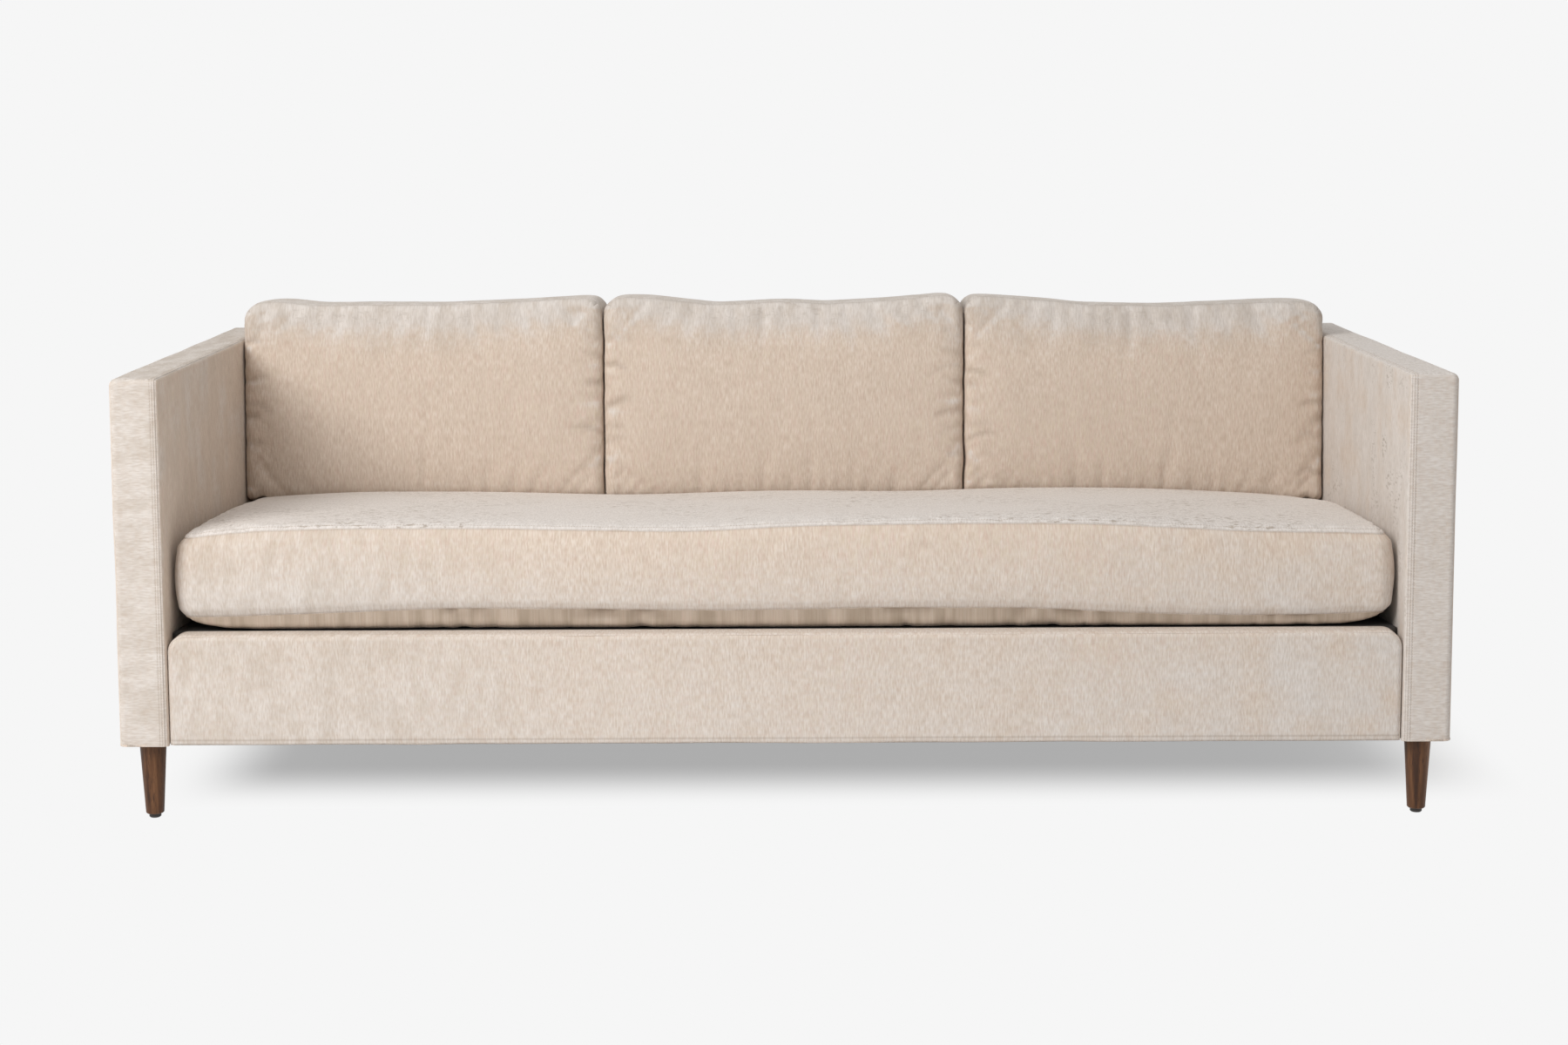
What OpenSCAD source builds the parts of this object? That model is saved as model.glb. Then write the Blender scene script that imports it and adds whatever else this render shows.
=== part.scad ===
// Three-seat tuxedo sofa: arms and back of one height on a timber frame, a sprung deck,
// one loose bench seat cushion and three loose back cushions, on turned tapered legs.
// Millimetres. The origin is on the floor under the middle, +X along the width, the front faces -Y.

/* [Overall size] */
// Width over the arms
body_w = 2134; // [1700:1:2500]
// Depth from the front of the arms to the outside back
body_d = 900; // [840:1:1000]
// Height of the arms and the back above the floor
arm_h = 720; // [680:1:780]
// Thickness of an upholstered arm
arm_t = 80; // [74:1:110]
// Thickness of the upholstered back where it meets the deck
back_t = 108; // [100:1:140]

/* [Upholstery] */
// Thickness of the lined cover fabric
cover_t = 2; // [1.5:0.1:3]
// Thickness of the foam on the inside of the arms and over their tops
pad_t = 12; // [8:1:18]
// Thickness of the foam on the front rail
rail_pad_t = 10; // [6:1:14]
// Thickness of the hardboard panels
panel_t = 3; // [3:0.5:5]
// Rounding of the arm and back edges
edge_r = 10; // [8:1:14]
// Rounding of the front rail's long edges
rail_edge_r = 14; // [10:1:18]
// Rounding of the front rail's upper corners
rail_corner_r = 36; // [24:1:48]
// How far the front rail stands behind the arm fronts
rail_recess = 3; // [1:1:10]
// Clearance between soft layers
fit_gap = 0.3; // [0.2:0.1:0.5]

/* [Deck] */
// Height of the deck's front edge above the floor
deck_h = 306; // [290:1:330]
// Fall of the deck towards the back, in degrees
pitch = 3.5; // [2:0.5:5]
// Thickness of the pad over the springs
deck_pad_t = 12; // [8:1:18]
// How far covers and panels reach below the deck's surface
tuck = 8; // [6:1:12]

/* [Timber frame] */
// Thickness of the rails
board_t = 28; // [22:1:32]
// Depth of the corner posts, front to back
post_d = 70; // [66:1:90]
// Depth of the back frame's boards, front to back
upright_d = 45; // [35:1:48]
// Width of the back uprights
upright_w = 58; // [40:1:80]
// Height of the arm top rails
arm_rail_h = 28; // [22:1:40]
// Height of the side rails
side_rail_h = 100; // [80:1:110]
// Height of the rail that holds the foot of the back webbing
web_rail_h = 60; // [50:1:80]
// How far that rail's top stands above the deck
web_rail_rise = 17; // [10:1:24]
// Height of the back top rail
top_rail_h = 60; // [45:1:80]
// Clearance between the seat stretchers and the back cleat
stretcher_clear = 4; // [2:1:10]
// Height of the strips that carry the spring clips
cleat_h = 40; // [30:1:50]
// Height of the arm tack rails
tack_rail_h = 40; // [30:1:50]
// Leg length of a triangular corner block
block_leg = 90; // [60:1:110]
// Width of a corner block's blunt ends
block_nose = 14; // [10:1:20]
// Height of a corner block
block_h = 28; // [20:1:40]

/* [Springs and webbing] */
// Number of sinuous springs
spring_count = 9; // [8:1:12]
// Diameter of the spring wire
spring_wire_d = 4; // [3.4:0.1:4.2]
// Width of a spring
spring_w = 56; // [52:1:64]
// Number of bends in a spring
spring_bends = 24; // [20:2:28]
// Rise of a spring's middle over its ends
spring_bow = 20; // [12:1:24]
// Thickness of the spring clip sheet
clip_t = 1.5; // [1:0.1:2]
// Width of a spring clip
clip_w = 14; // [10:1:20]
// Diameter of the tie wires
tie_wire_d = 2.5; // [2:0.1:3]
// How far the tie wires stop short of the arms
tie_wire_inset = 10; // [6:1:20]
// Number of back webbing straps
strap_count = 9; // [7:1:11]
// Width of a strap
strap_w = 60; // [40:1:80]
// Thickness of a strap
strap_t = 1.5; // [1:0.1:2]
// How far a strap laps over the rails at its ends
strap_lap = 40; // [25:1:44]

/* [Legs] */
// Length of a timber leg
leg_h = 120; // [100:1:150]
// Diameter at the top of a leg
leg_top_d = 43; // [38:1:44]
// Diameter at the foot of a leg
leg_foot_d = 29; // [24:1:34]
// Distance of the leg centres from the sofa's sides, front and back
leg_inset = 44; // [42:1:48]
// Bevel round the foot of a leg
leg_bevel = 1.5; // [1:0.5:3]
// Diameter of a glide
glide_d = 19; // [16:1:22]
// Height of a glide under the leg
glide_h = 7; // [5:1:9]
// Diameter of the hanger bolts
bolt_d = 8; // [6:1:8]
// Length of a hanger bolt inside the leg
bolt_grip = 35; // [25:1:45]
// Thickness of the leg plates
plate_t = 2.5; // [2:0.1:4]
// Diameter of the leg plate's threaded socket
socket_d = 13; // [12:0.5:14]
// Height of the socket inside the post
socket_h = 22; // [16:1:28]
// Diameter of the wood screws
screw_d = 4; // [3.5:0.1:4.5]
// Length of the wood screws
screw_l = 25; // [18:1:30]

/* [Cushions] */
// Height of the seat cushion's boxing between its seams
seat_boxing = 134; // [110:1:150]
// Crown under the seat cushion's lower seam
seat_low_crown = 27; // [15:1:32]
// Crown over the seat cushion's upper seam
seat_top_crown = 12; // [8:1:20]
// How far the seat cushion stands behind the arm fronts
seat_setback = 25; // [15:1:40]
// Space between the seat cushion and each arm
seat_side_gap = 4; // [2:0.5:8]
// Height of a back cushion
back_cushion_h = 350; // [300:1:380]
// Thickness of a back cushion at the middle
back_cushion_t = 205; // [170:1:220]
// Crown of a back cushion's front panel
back_front_crown = 22; // [12:1:30]
// Crown of a back cushion's rear panel
back_rear_crown = 12; // [8:1:16]
// Space between neighbouring back cushions
back_gap = 4; // [2:0.5:8]
// Space between the outer back cushions and the arms
back_side_gap = 2; // [1:0.5:4]
// Space behind the cushions
rear_gap = 3; // [1:0.5:6]
// Rounding of a cushion's upright corners
cushion_corner_r = 24; // [16:1:34]
// Width of the crowned border of a cushion's panels
crown_border = 70; // [50:1:90]

/* [Hidden] */
back_names = ["left", "middle", "right"];

fabric_colour = "#D3C5B7";
foam_colour = "#EFE3C2";
timber_colour = "#C9A878";
walnut_colour = "#6D4A34";
board_colour = "#8A6A48";
steel_colour = "#9A9DA0";
cloth_colour = "#3A3836";
strap_colour = "#B7A88E";

cut = 1;                 // how far a cutting shape runs past a face
layer_end = 7;           // how far the arm's inner layers stop short of the back frame
ply = 1;                 // thickness of the dust cloth
run_gap = 0.15;          // clearance of a screw, bolt, nail or clip in its seat
round_fn = 24;           // sides of an upholstered edge
corner_fn = 16;          // sides of a cushion corner
crown_steps = 3;         // layers that make a crown
turn_fn = 96;            // sides of a turned part
bend_thinning = 0.1;     // how much thinner a spring's bends are than its rods
bend_lap = 0.3;          // how far a rod runs on over the bend that it joins

half_w = body_w / 2;
half_d = body_d / 2;
base_z = leg_h + glide_h;
frame_z = base_z + plate_t;
arm_in = half_w - arm_t;
inner_w = 2 * arm_in;
frame_top = arm_h - cover_t - pad_t;

// the arm's layers, from the inside outwards
inner_panel_x = arm_in + cover_t + pad_t;
post_x = inner_panel_x + panel_t;
outer_panel_x = half_w - cover_t - panel_t;
post_w = outer_panel_x - post_x;
post_y = half_d - cover_t - panel_t;
post_top = frame_top - arm_rail_h;

// the front rail's layers
rail_y = -half_d + rail_recess;
rail_board_y = rail_y + cover_t + rail_pad_t;
deck_y = rail_board_y + board_t;
rail_top = deck_h - cover_t - pad_t;
notch_z = deck_h - rail_corner_r - cover_t;

// the deck falls from its front edge, and the inside back stands square to it
inside_back_y = half_d - back_t;
seat_run = (inside_back_y - deck_y) / cos(pitch);
back_board_y = half_d - cover_t - panel_t - upright_d;
pad_back_y = back_board_y - strap_t - fit_gap;
pad_end_y = pad_back_y - layer_end;
tuck_z = deck_z(inside_back_y) - tuck - cover_t;

// springs lie in the plane of the deck
deck_layers = cover_t + deck_pad_t;
cleat_d = board_t;
spring_front = cleat_d / 2;
spring_back = (back_board_y - deck_y) / cos(pitch) - cleat_d / 2;
spring_span = spring_back - spring_front;
bow_r = (spring_span * spring_span / 4 + spring_bow * spring_bow) / (2 * spring_bow);
bow_angle = 2 * asin(spring_span / 2 / bow_r);
bend_step = bow_angle / spring_bends;
bend_r = bow_r * sin(bend_step / 2);
spring_top = -deck_layers - fit_gap;
rod_end_h = spring_top - spring_wire_d / 2 - spring_bow;
clip_bore = spring_wire_d / 2 + fit_gap;
cleat_top = rod_end_h - clip_bore - clip_t - run_gap;
spring_pitch = inner_w / spring_count;
tie_wire_drop = (spring_wire_d + tie_wire_d) / 2 + fit_gap;
cleat_drop = cleat_top / cos(pitch);
cleat_foot = deck_z(back_board_y - cleat_d) + cleat_drop - cleat_h;
brace_x = inner_w / (2 * len(back_names));
web_rail_top = deck_z(back_board_y) + web_rail_rise;
web_rail_z = web_rail_top - web_rail_h;
top_rail_z = frame_top - top_rail_h;

// legs and their fixings
leg_x = half_w - leg_inset;
leg_y = half_d - leg_inset;
plate_margin = 3;
plate_w = post_w - 2 * plate_margin;
plate_d = post_d - 2 * plate_margin;
plate_x = post_x + post_w / 2;
plate_y = post_y - post_d / 2;
screw_edge = 6;
screw_head_d = 2 * screw_d;
nail_d = 3;
nail_l = 20;

// cushions, placed in the plane of the deck
seat_front = (-half_d + seat_setback - deck_y) / cos(pitch);
seat_d = seat_run - rear_gap - seat_front;
seat_w = inner_w - 2 * seat_side_gap;
seat_h = seat_low_crown + seat_boxing + seat_top_crown;
seat_top = fit_gap + seat_h;
back_w = (inner_w - 2 * back_side_gap - (len(back_names) - 1) * back_gap) / len(back_names);

// height of the deck's surface at a depth
function deck_z(y) = deck_h - (y - deck_y) * tan(pitch);
// depth of the inside back's surface at a height
function back_face_y(z) = inside_back_y + (z - deck_z(inside_back_y)) * tan(pitch);

// a plane whose Y runs back along the deck and whose Z stands square to it
module on_deck() { translate([0, deck_y, deck_h]) rotate([-pitch, 0, 0]) children(); }
// a section drawn in Y and Z, carried along X and centred
module along_x(w) { translate([-w / 2, 0, 0]) rotate([90, 0, 90]) linear_extrude(w) children(); }
module both_sides() { for (side = [0, 1]) mirror([side, 0, 0]) children(); }
module four_corners() { both_sides() for (end = [0, 1]) mirror([0, end, 0]) children(); }
// a box given by its low and high corners
module span(low, high) { translate(low) cube(high - low); }

// ---- timber frame ----
module front_rail() {
  color(timber_colour) difference() {
    span([-post_x, rail_board_y, frame_z], [post_x, deck_y, rail_top]);
    both_sides() span([arm_in - rail_corner_r - cover_t, rail_board_y - cut, notch_z],
                      [post_x + cut, deck_y + cut, rail_top + cut]);
  }
}
module back_rail() {
  color(timber_colour)
    span([-post_x, back_board_y, frame_z], [post_x, back_board_y + board_t, web_rail_z]);
}
module side_rails() {
  color(timber_colour) both_sides()
    span([post_x, post_d - post_y, frame_z], [post_x + board_t, post_y - post_d, frame_z + side_rail_h]);
}
module seat_stretchers() {
  color(timber_colour) both_sides() translate([brace_x, 0, 0])
    span([-board_t / 2, deck_y, frame_z], [board_t / 2, back_board_y, cleat_foot - stretcher_clear]);
}
module corner_blocks() {
  corner = [[0, 0], [block_leg, 0], [block_leg, block_nose], [block_nose, block_leg], [0, block_leg]];
  color(timber_colour) both_sides() {
    translate([-post_x, deck_y, frame_z]) linear_extrude(block_h) polygon(corner);
    translate([-post_x, back_board_y, frame_z]) mirror([0, 1, 0]) linear_extrude(block_h) polygon(corner);
  }
}
// bores in the foot of a post for the leg plate's socket and screws
module post_bores() {
  translate([leg_x, leg_y, frame_z - cut])
    cylinder(d = socket_d + 2 * run_gap, h = socket_h + 2 * cut, $fn = turn_fn);
  at_plate_screws() translate([0, 0, frame_z - cut])
    cylinder(d = screw_d + 2 * run_gap, h = screw_l + cut, $fn = turn_fn);
}
module post() {
  difference() {
    span([post_x, post_y - post_d, frame_z], [outer_panel_x, post_y, post_top]);
    post_bores();
  }
}
module front_posts() { color(timber_colour) both_sides() mirror([0, 1, 0]) post(); }
module back_posts() { color(timber_colour) both_sides() post(); }
module arm_top_rails() {
  color(timber_colour) both_sides() span([post_x, -post_y, post_top], [outer_panel_x, post_y, frame_top]);
}
module arm_tack_rails() {
  y0 = post_d - post_y;
  y1 = post_y - post_d;
  color(timber_colour) both_sides() translate([post_x + board_t / 2, 0, 0]) along_x(board_t)
    polygon([[y0, deck_z(y0) - tuck], [y1, deck_z(y1) - tuck],
             [y1, deck_z(y1) - tuck + tack_rail_h], [y0, deck_z(y0) - tuck + tack_rail_h]]);
}
module back_top_rail() {
  color(timber_colour)
    span([-post_x, back_board_y, top_rail_z], [post_x, back_board_y + upright_d, frame_top]);
}
module back_web_rail() {
  color(timber_colour)
    span([-post_x, back_board_y, web_rail_z], [post_x, back_board_y + upright_d, web_rail_top]);
}
module back_uprights() {
  color(timber_colour) both_sides() translate([brace_x, 0, 0])
    span([-upright_w / 2, back_board_y, web_rail_top], [upright_w / 2, back_board_y + upright_d, top_rail_z]);
}

// ---- panels ----
// the side view of an arm's inner layers: down to the deck, and back to the inside back
module inner_side(front, top) {
  polygon([[front, deck_z(front) - tuck], [pad_end_y, deck_z(pad_end_y) - tuck],
           [pad_end_y, top], [front, top]]);
}
module arm_inner_panels() {
  color(board_colour) both_sides() translate([inner_panel_x + panel_t / 2, 0, 0])
    along_x(panel_t) inner_side(-post_y, frame_top);
}
module arm_outer_panels() {
  end_y = half_d - edge_r;
  color(board_colour) both_sides()
    span([outer_panel_x, -end_y, frame_z], [outer_panel_x + panel_t, end_y, frame_top]);
}
module outer_back_panel() {
  w = arm_in - fit_gap;
  color(board_colour) span([-w, post_y, frame_z], [w, post_y + panel_t, frame_top]);
}

// ---- springs ----
// a strip whose top lies in the plane of the clips, cut square where it meets its rail
module cleat(y0, y1) {
  foot = deck_z(y0) + cleat_drop - cleat_h;
  along_x(inner_w)
    polygon([[y0, foot], [y1, foot], [y1, deck_z(y1) + cleat_drop], [y0, deck_z(y0) + cleat_drop]]);
}
module front_cleat() { color(timber_colour) cleat(deck_y, deck_y + cleat_d); }
module back_cleat() { color(timber_colour) cleat(back_board_y - cleat_d, back_board_y); }

// the middle of the wire at a step along a spring's arc
function arc_y(step) = (spring_front + spring_back) / 2 + bow_r * sin((step - spring_bends / 2) * bend_step);
function arc_z(step) = rod_end_h + bow_r * (cos((step - spring_bends / 2) * bend_step) - cos(bow_angle / 2));

// a zig-zag wire: straight rods across, joined by half rings at alternate sides
module spring() {
  rod = spring_w - 2 * bend_r - spring_wire_d;
  for (i = [0 : spring_bends])
    translate([-rod / 2 - bend_lap, arc_y(i), arc_z(i)]) rotate([0, 90, 0])
      cylinder(d = spring_wire_d, h = rod + 2 * bend_lap, $fn = round_fn);
  for (i = [0 : spring_bends - 1]) {
    side = i % 2 == 0 ? 1 : -1;
    tilt = -(i + 0.5 - spring_bends / 2) * bend_step;
    translate([side * rod / 2, (arc_y(i) + arc_y(i + 1)) / 2, (arc_z(i) + arc_z(i + 1)) / 2])
      rotate([tilt, 0, 0]) rotate([0, 0, -90 * side]) rotate_extrude(angle = 180, $fn = turn_fn)
        translate([bend_r, 0]) circle(d = spring_wire_d - bend_thinning, $fn = round_fn);
  }
}
module at_springs() {
  for (k = [0 : spring_count - 1]) on_deck() translate([(k + 0.5) * spring_pitch - arm_in, 0, 0]) children();
}
module seat_springs() { color(steel_colour) at_springs() spring(); }
// a sheet folded round the spring's end rod, open at the side that faces the middle
module clip() {
  outer = clip_bore + clip_t;
  along_x(clip_w) difference() {
    union() {
      circle(outer, $fn = round_fn);
      translate([0, -outer]) square([2 * outer, clip_t]);
    }
    circle(clip_bore, $fn = round_fn);
    translate([0, -clip_bore]) square([outer + cut, 2 * clip_bore]);
  }
}
module spring_clips() {
  color(steel_colour) at_springs() {
    translate([0, spring_front, rod_end_h]) clip();
    translate([0, spring_back, rod_end_h]) mirror([0, 1, 0]) clip();
  }
}
module tie_wires() {
  color(steel_colour) for (step = [spring_bends / 4, spring_bends * 3 / 4])
    on_deck() translate([tie_wire_inset - arm_in, arc_y(step), arc_z(step) - tie_wire_drop])
      rotate([0, 90, 0]) cylinder(d = tie_wire_d, h = inner_w - 2 * tie_wire_inset, $fn = round_fn);
}
module back_webbing() {
  strap_pitch = inner_w / strap_count;
  color(strap_colour) for (k = [0 : strap_count - 1]) translate([(k + 0.5) * strap_pitch - arm_in, 0, 0])
    span([-strap_w / 2, back_board_y - strap_t, web_rail_top - strap_lap],
         [strap_w / 2, back_board_y, top_rail_z + strap_lap]);
}

// ---- deck ----
// a layer on the deck, whose lower edge clears the upright rail in front
module deck_layer(low, high) {
  w = arm_in - fit_gap;
  on_deck() span([-w, fit_gap - low * tan(pitch), low], [w, seat_run - fit_gap, high]);
}
module deck_pad() { color(foam_colour) deck_layer(-deck_layers, -cover_t); }
module deck_cloth() { color(cloth_colour) deck_layer(-cover_t, 0); }

// ---- upholstery ----
// an upright rod with a domed top
module peg(r, h) {
  rotate_extrude($fn = round_fn) {
    square([r, h - r]);
    intersection() {
      translate([0, h - r]) circle(r, $fn = round_fn);
      square([r, h]);
    }
  }
}
// the right arm's slab with every upright and upper edge rounded, set in by a layer's depth
module arm_form(inset, drop) {
  hull() for (x = [arm_in + edge_r, half_w - edge_r], y = [edge_r - half_d, half_d - edge_r])
    translate([x, y, base_z - drop]) peg(edge_r - inset, arm_h - inset - base_z + drop);
}
// what the inner side leaves open: below the deck, and where the back frame enters
module arm_opening(x0, x1, front) {
  translate([(x0 + x1) / 2, 0, 0]) along_x(x1 - x0)
    polygon([[front, base_z - 2 * cut], [front, deck_z(front) - tuck],
             [pad_end_y, deck_z(pad_end_y) - tuck], [pad_end_y, frame_top],
             [post_y + fit_gap, frame_top], [post_y + fit_gap, base_z - 2 * cut]]);
}
module arm_cover() {
  color(fabric_colour) difference() {
    arm_form(0, 0);
    arm_form(cover_t, 2 * cut);
    arm_opening(arm_in - cut, post_x, rail_board_y - fit_gap);
  }
}
module arm_cover_right() { arm_cover(); }
module arm_cover_left() { mirror([1, 0, 0]) arm_cover(); }
module arm_pad() {
  color(foam_colour) difference() {
    arm_form(cover_t + fit_gap, 0);
    span([inner_panel_x, -post_y, base_z - cut], [half_w, half_d, frame_top]);
    arm_opening(arm_in, post_x, -post_y);
  }
}
module arm_pad_right() { arm_pad(); }
module arm_pad_left() { mirror([1, 0, 0]) arm_pad(); }

// the section of the back between the arms, set in by a layer's depth
module back_section(inset, low) {
  top = arm_h - edge_r;
  face = back_face_y(low) + inset / cos(pitch);
  hull() {
    translate([back_face_y(top) + edge_r / cos(pitch), top]) circle(edge_r - inset, $fn = round_fn);
    translate([half_d - edge_r, top]) circle(edge_r - inset, $fn = round_fn);
    polygon([[face, low], [half_d - inset, low], [half_d - inset, low + cut]]);
  }
}
module back_cover() {
  color(fabric_colour) along_x(inner_w) difference() {
    union() {
      back_section(0, tuck_z);
      translate([half_d - cover_t, base_z]) square([cover_t, tuck_z - base_z + cut]);
    }
    back_section(cover_t, tuck_z - cut);
  }
}
module back_pad() {
  color(foam_colour) along_x(inner_w) difference() {
    back_section(cover_t + fit_gap, tuck_z);
    translate([pad_back_y, tuck_z - cut]) square([half_d, frame_top - tuck_z + cut]);
  }
}
// the front rail's padded form: its upper corners are rings' quarters
module rail_form(inset, drop) {
  back = deck_y + rail_corner_r;
  hull() {
    for (side = [-1, 1], y = [rail_y + rail_edge_r, back])
      translate([side * (arm_in - rail_corner_r), y, deck_h - rail_corner_r]) rotate([90, 0, 0])
        rotate_extrude($fn = round_fn) translate([rail_corner_r - rail_edge_r, 0])
          circle(rail_edge_r - inset, $fn = round_fn);
    span([inset - arm_in, rail_y + inset, base_z - drop], [arm_in - inset, back, base_z - drop + cut]);
  }
}
module behind_rail() { span([-half_w, deck_y, 0], [half_w, half_d, arm_h]); }
module rail_cover() {
  color(fabric_colour) difference() {
    rail_form(0, 0);
    rail_form(cover_t, 2 * cut);
    span([-half_w, rail_board_y - fit_gap, 0], [half_w, half_d, notch_z + fit_gap]);
    behind_rail();
  }
}
module rail_pad() {
  color(foam_colour) difference() {
    rail_form(cover_t + fit_gap, 0);
    span([-half_w, rail_board_y, 0], [half_w, half_d, rail_top]);
    behind_rail();
  }
}
module dust_cover() {
  w = half_w - cover_t - fit_gap;
  color(cloth_colour) difference() {
    span([-w, rail_board_y, frame_z - ply], [w, post_y, frame_z]);
    four_corners() span([post_x, post_y - post_d, frame_z - ply - cut], [half_w, half_d, frame_z + cut]);
  }
}

// ---- legs and fixings ----
module at_leg(side, end) {
  mirror([side < 0 ? 1 : 0, 0, 0]) mirror([0, end < 0 ? 1 : 0, 0]) translate([leg_x, leg_y, 0]) children();
}
module leg() {
  foot_r = leg_foot_d / 2;
  color(walnut_colour) translate([0, 0, glide_h]) difference() {
    rotate_extrude($fn = turn_fn)
      polygon([[0, 0], [foot_r - leg_bevel, 0], [foot_r, leg_bevel], [leg_top_d / 2, leg_h], [0, leg_h]]);
    translate([0, 0, leg_h - bolt_grip - run_gap])
      cylinder(d = bolt_d + 2 * run_gap, h = bolt_grip + cut, $fn = turn_fn);
    translate([0, 0, -cut]) cylinder(d = nail_d + 2 * run_gap, h = nail_l + cut + run_gap, $fn = turn_fn);
  }
}
module leg_front_left() { at_leg(-1, -1) leg(); }
module leg_front_right() { at_leg(1, -1) leg(); }
module leg_back_left() { at_leg(-1, 1) leg(); }
module leg_back_right() { at_leg(1, 1) leg(); }
// a nail-on glide: a disc with a bevelled rim and its nail
module glide() {
  r = glide_d / 2;
  color(cloth_colour) rotate_extrude($fn = turn_fn)
    polygon([[0, 0], [r - leg_bevel, 0], [r, leg_bevel], [r, glide_h], [nail_d / 2, glide_h],
             [nail_d / 2, glide_h + nail_l - nail_d], [0, glide_h + nail_l]]);
}
module glide_front_left() { at_leg(-1, -1) glide(); }
module glide_front_right() { at_leg(1, -1) glide(); }
module glide_back_left() { at_leg(-1, 1) glide(); }
module glide_back_right() { at_leg(1, 1) glide(); }
module hanger_bolts() {
  color(steel_colour) four_corners() translate([leg_x, leg_y, base_z - bolt_grip])
    cylinder(d = bolt_d, h = bolt_grip + plate_t + socket_h, $fn = turn_fn);
}
module at_plate_screws() {
  for (x = [-1, 1], y = [-1, 1])
    translate([plate_x + x * (plate_w / 2 - screw_edge), plate_y + y * (plate_d / 2 - screw_edge), 0])
      children();
}
// a countersunk screw's body, head down, grown by a clearance
module screw_form(gap) {
  cylinder(d1 = screw_head_d + 2 * gap, d2 = screw_d + 2 * gap, h = plate_t, $fn = turn_fn);
  translate([0, 0, plate_t]) cylinder(d = screw_d + 2 * gap, h = screw_l - plate_t - gap, $fn = turn_fn);
}
module leg_plates() {
  color(steel_colour) four_corners() difference() {
    union() {
      translate([plate_x - plate_w / 2, plate_y - plate_d / 2, base_z]) cube([plate_w, plate_d, plate_t]);
      translate([leg_x, leg_y, frame_z - plate_t / 2])
        cylinder(d = socket_d, h = socket_h + plate_t / 2, $fn = turn_fn);
    }
    translate([leg_x, leg_y, base_z - cut])
      cylinder(d = bolt_d + 2 * run_gap, h = plate_t + socket_h + 2 * cut, $fn = turn_fn);
    at_plate_screws() translate([0, 0, base_z]) screw_form(run_gap);
    at_plate_screws() translate([0, 0, base_z - cut])
      cylinder(d = screw_head_d + 2 * run_gap, h = cut, $fn = turn_fn);
  }
}
module plate_screws() {
  color(steel_colour) four_corners() at_plate_screws() translate([0, 0, base_z]) screw_form(0);
}

// ---- cushions ----
// a boxed cushion: upright sides, and panels that crown above and below the seams
module crowned_box(w, d, h, low_crown, top_crown, inset) {
  r = cushion_corner_r - inset;
  low = low_crown + inset;
  high = h - top_crown - inset;
  hull() {
    corner_rods(w, d, inset, r, low, high);
    for (k = [1 : crown_steps]) {
      rise = sin(90 * k / crown_steps);
      border = inset + crown_border * (1 - cos(90 * k / crown_steps));
      corner_rods(w, d, border, r, low - low_crown * rise, low);
      corner_rods(w, d, border, r, high, high + top_crown * rise);
    }
  }
}
// four upright rods at the corners of a rectangle drawn in by a border
module corner_rods(w, d, border, r, low, high) {
  for (x = [border + r, w - border - r], y = [border + r, d - border - r])
    translate([x - w / 2, y, low]) cylinder(r = r, h = high - low, $fn = corner_fn);
}
module seat_form(inset) {
  on_deck() translate([0, seat_front, fit_gap])
    crowned_box(seat_w, seat_d, seat_h, seat_low_crown, seat_top_crown, inset);
}
module seat_cushion_core() { color(foam_colour) seat_form(cover_t + fit_gap); }
module seat_cushion_cover() {
  color(fabric_colour) difference() {
    seat_form(0);
    seat_form(cover_t);
  }
}
module back_form(k, inset) {
  on_deck() translate([(k - 1) * (back_w + back_gap), seat_run - rear_gap, seat_top + fit_gap])
    rotate([90, 0, 0])
      crowned_box(back_w, back_cushion_h, back_cushion_t, back_rear_crown, back_front_crown, inset);
}
module back_cushion_core(k) { color(foam_colour) back_form(k, cover_t + fit_gap); }
module back_cushion_cover(k) {
  color(fabric_colour) difference() {
    back_form(k, 0);
    back_form(k, cover_t);
  }
}
front_rail();
back_rail();
side_rails();
seat_stretchers();
corner_blocks();
front_posts();
back_posts();
arm_top_rails();
arm_tack_rails();
back_top_rail();
back_web_rail();
back_uprights();
arm_inner_panels();
arm_outer_panels();
outer_back_panel();
front_cleat();
back_cleat();
seat_springs();
spring_clips();
tie_wires();
back_webbing();
deck_pad();
deck_cloth();
arm_pad_left();
arm_pad_right();
back_pad();
rail_pad();
arm_cover_left();
arm_cover_right();
back_cover();
rail_cover();
dust_cover();
leg_front_left();
leg_front_right();
leg_back_left();
leg_back_right();
glide_front_left();
glide_front_right();
glide_back_left();
glide_back_right();
hanger_bolts();
leg_plates();
plate_screws();
seat_cushion_core();
seat_cushion_cover();
for (k = [0 : len(back_names) - 1]) {
  back_cushion_core(k);
  back_cushion_cover(k);
}
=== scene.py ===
# Looks of a three-seat tuxedo sofa in a pale chenille velvet, on walnut legs.
# Metres. +X is to the right, +Y to the back, +Z up; the floor is at z = 0.
import math

import bpy
import numpy as np
from mathutils import Euler, Matrix


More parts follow.
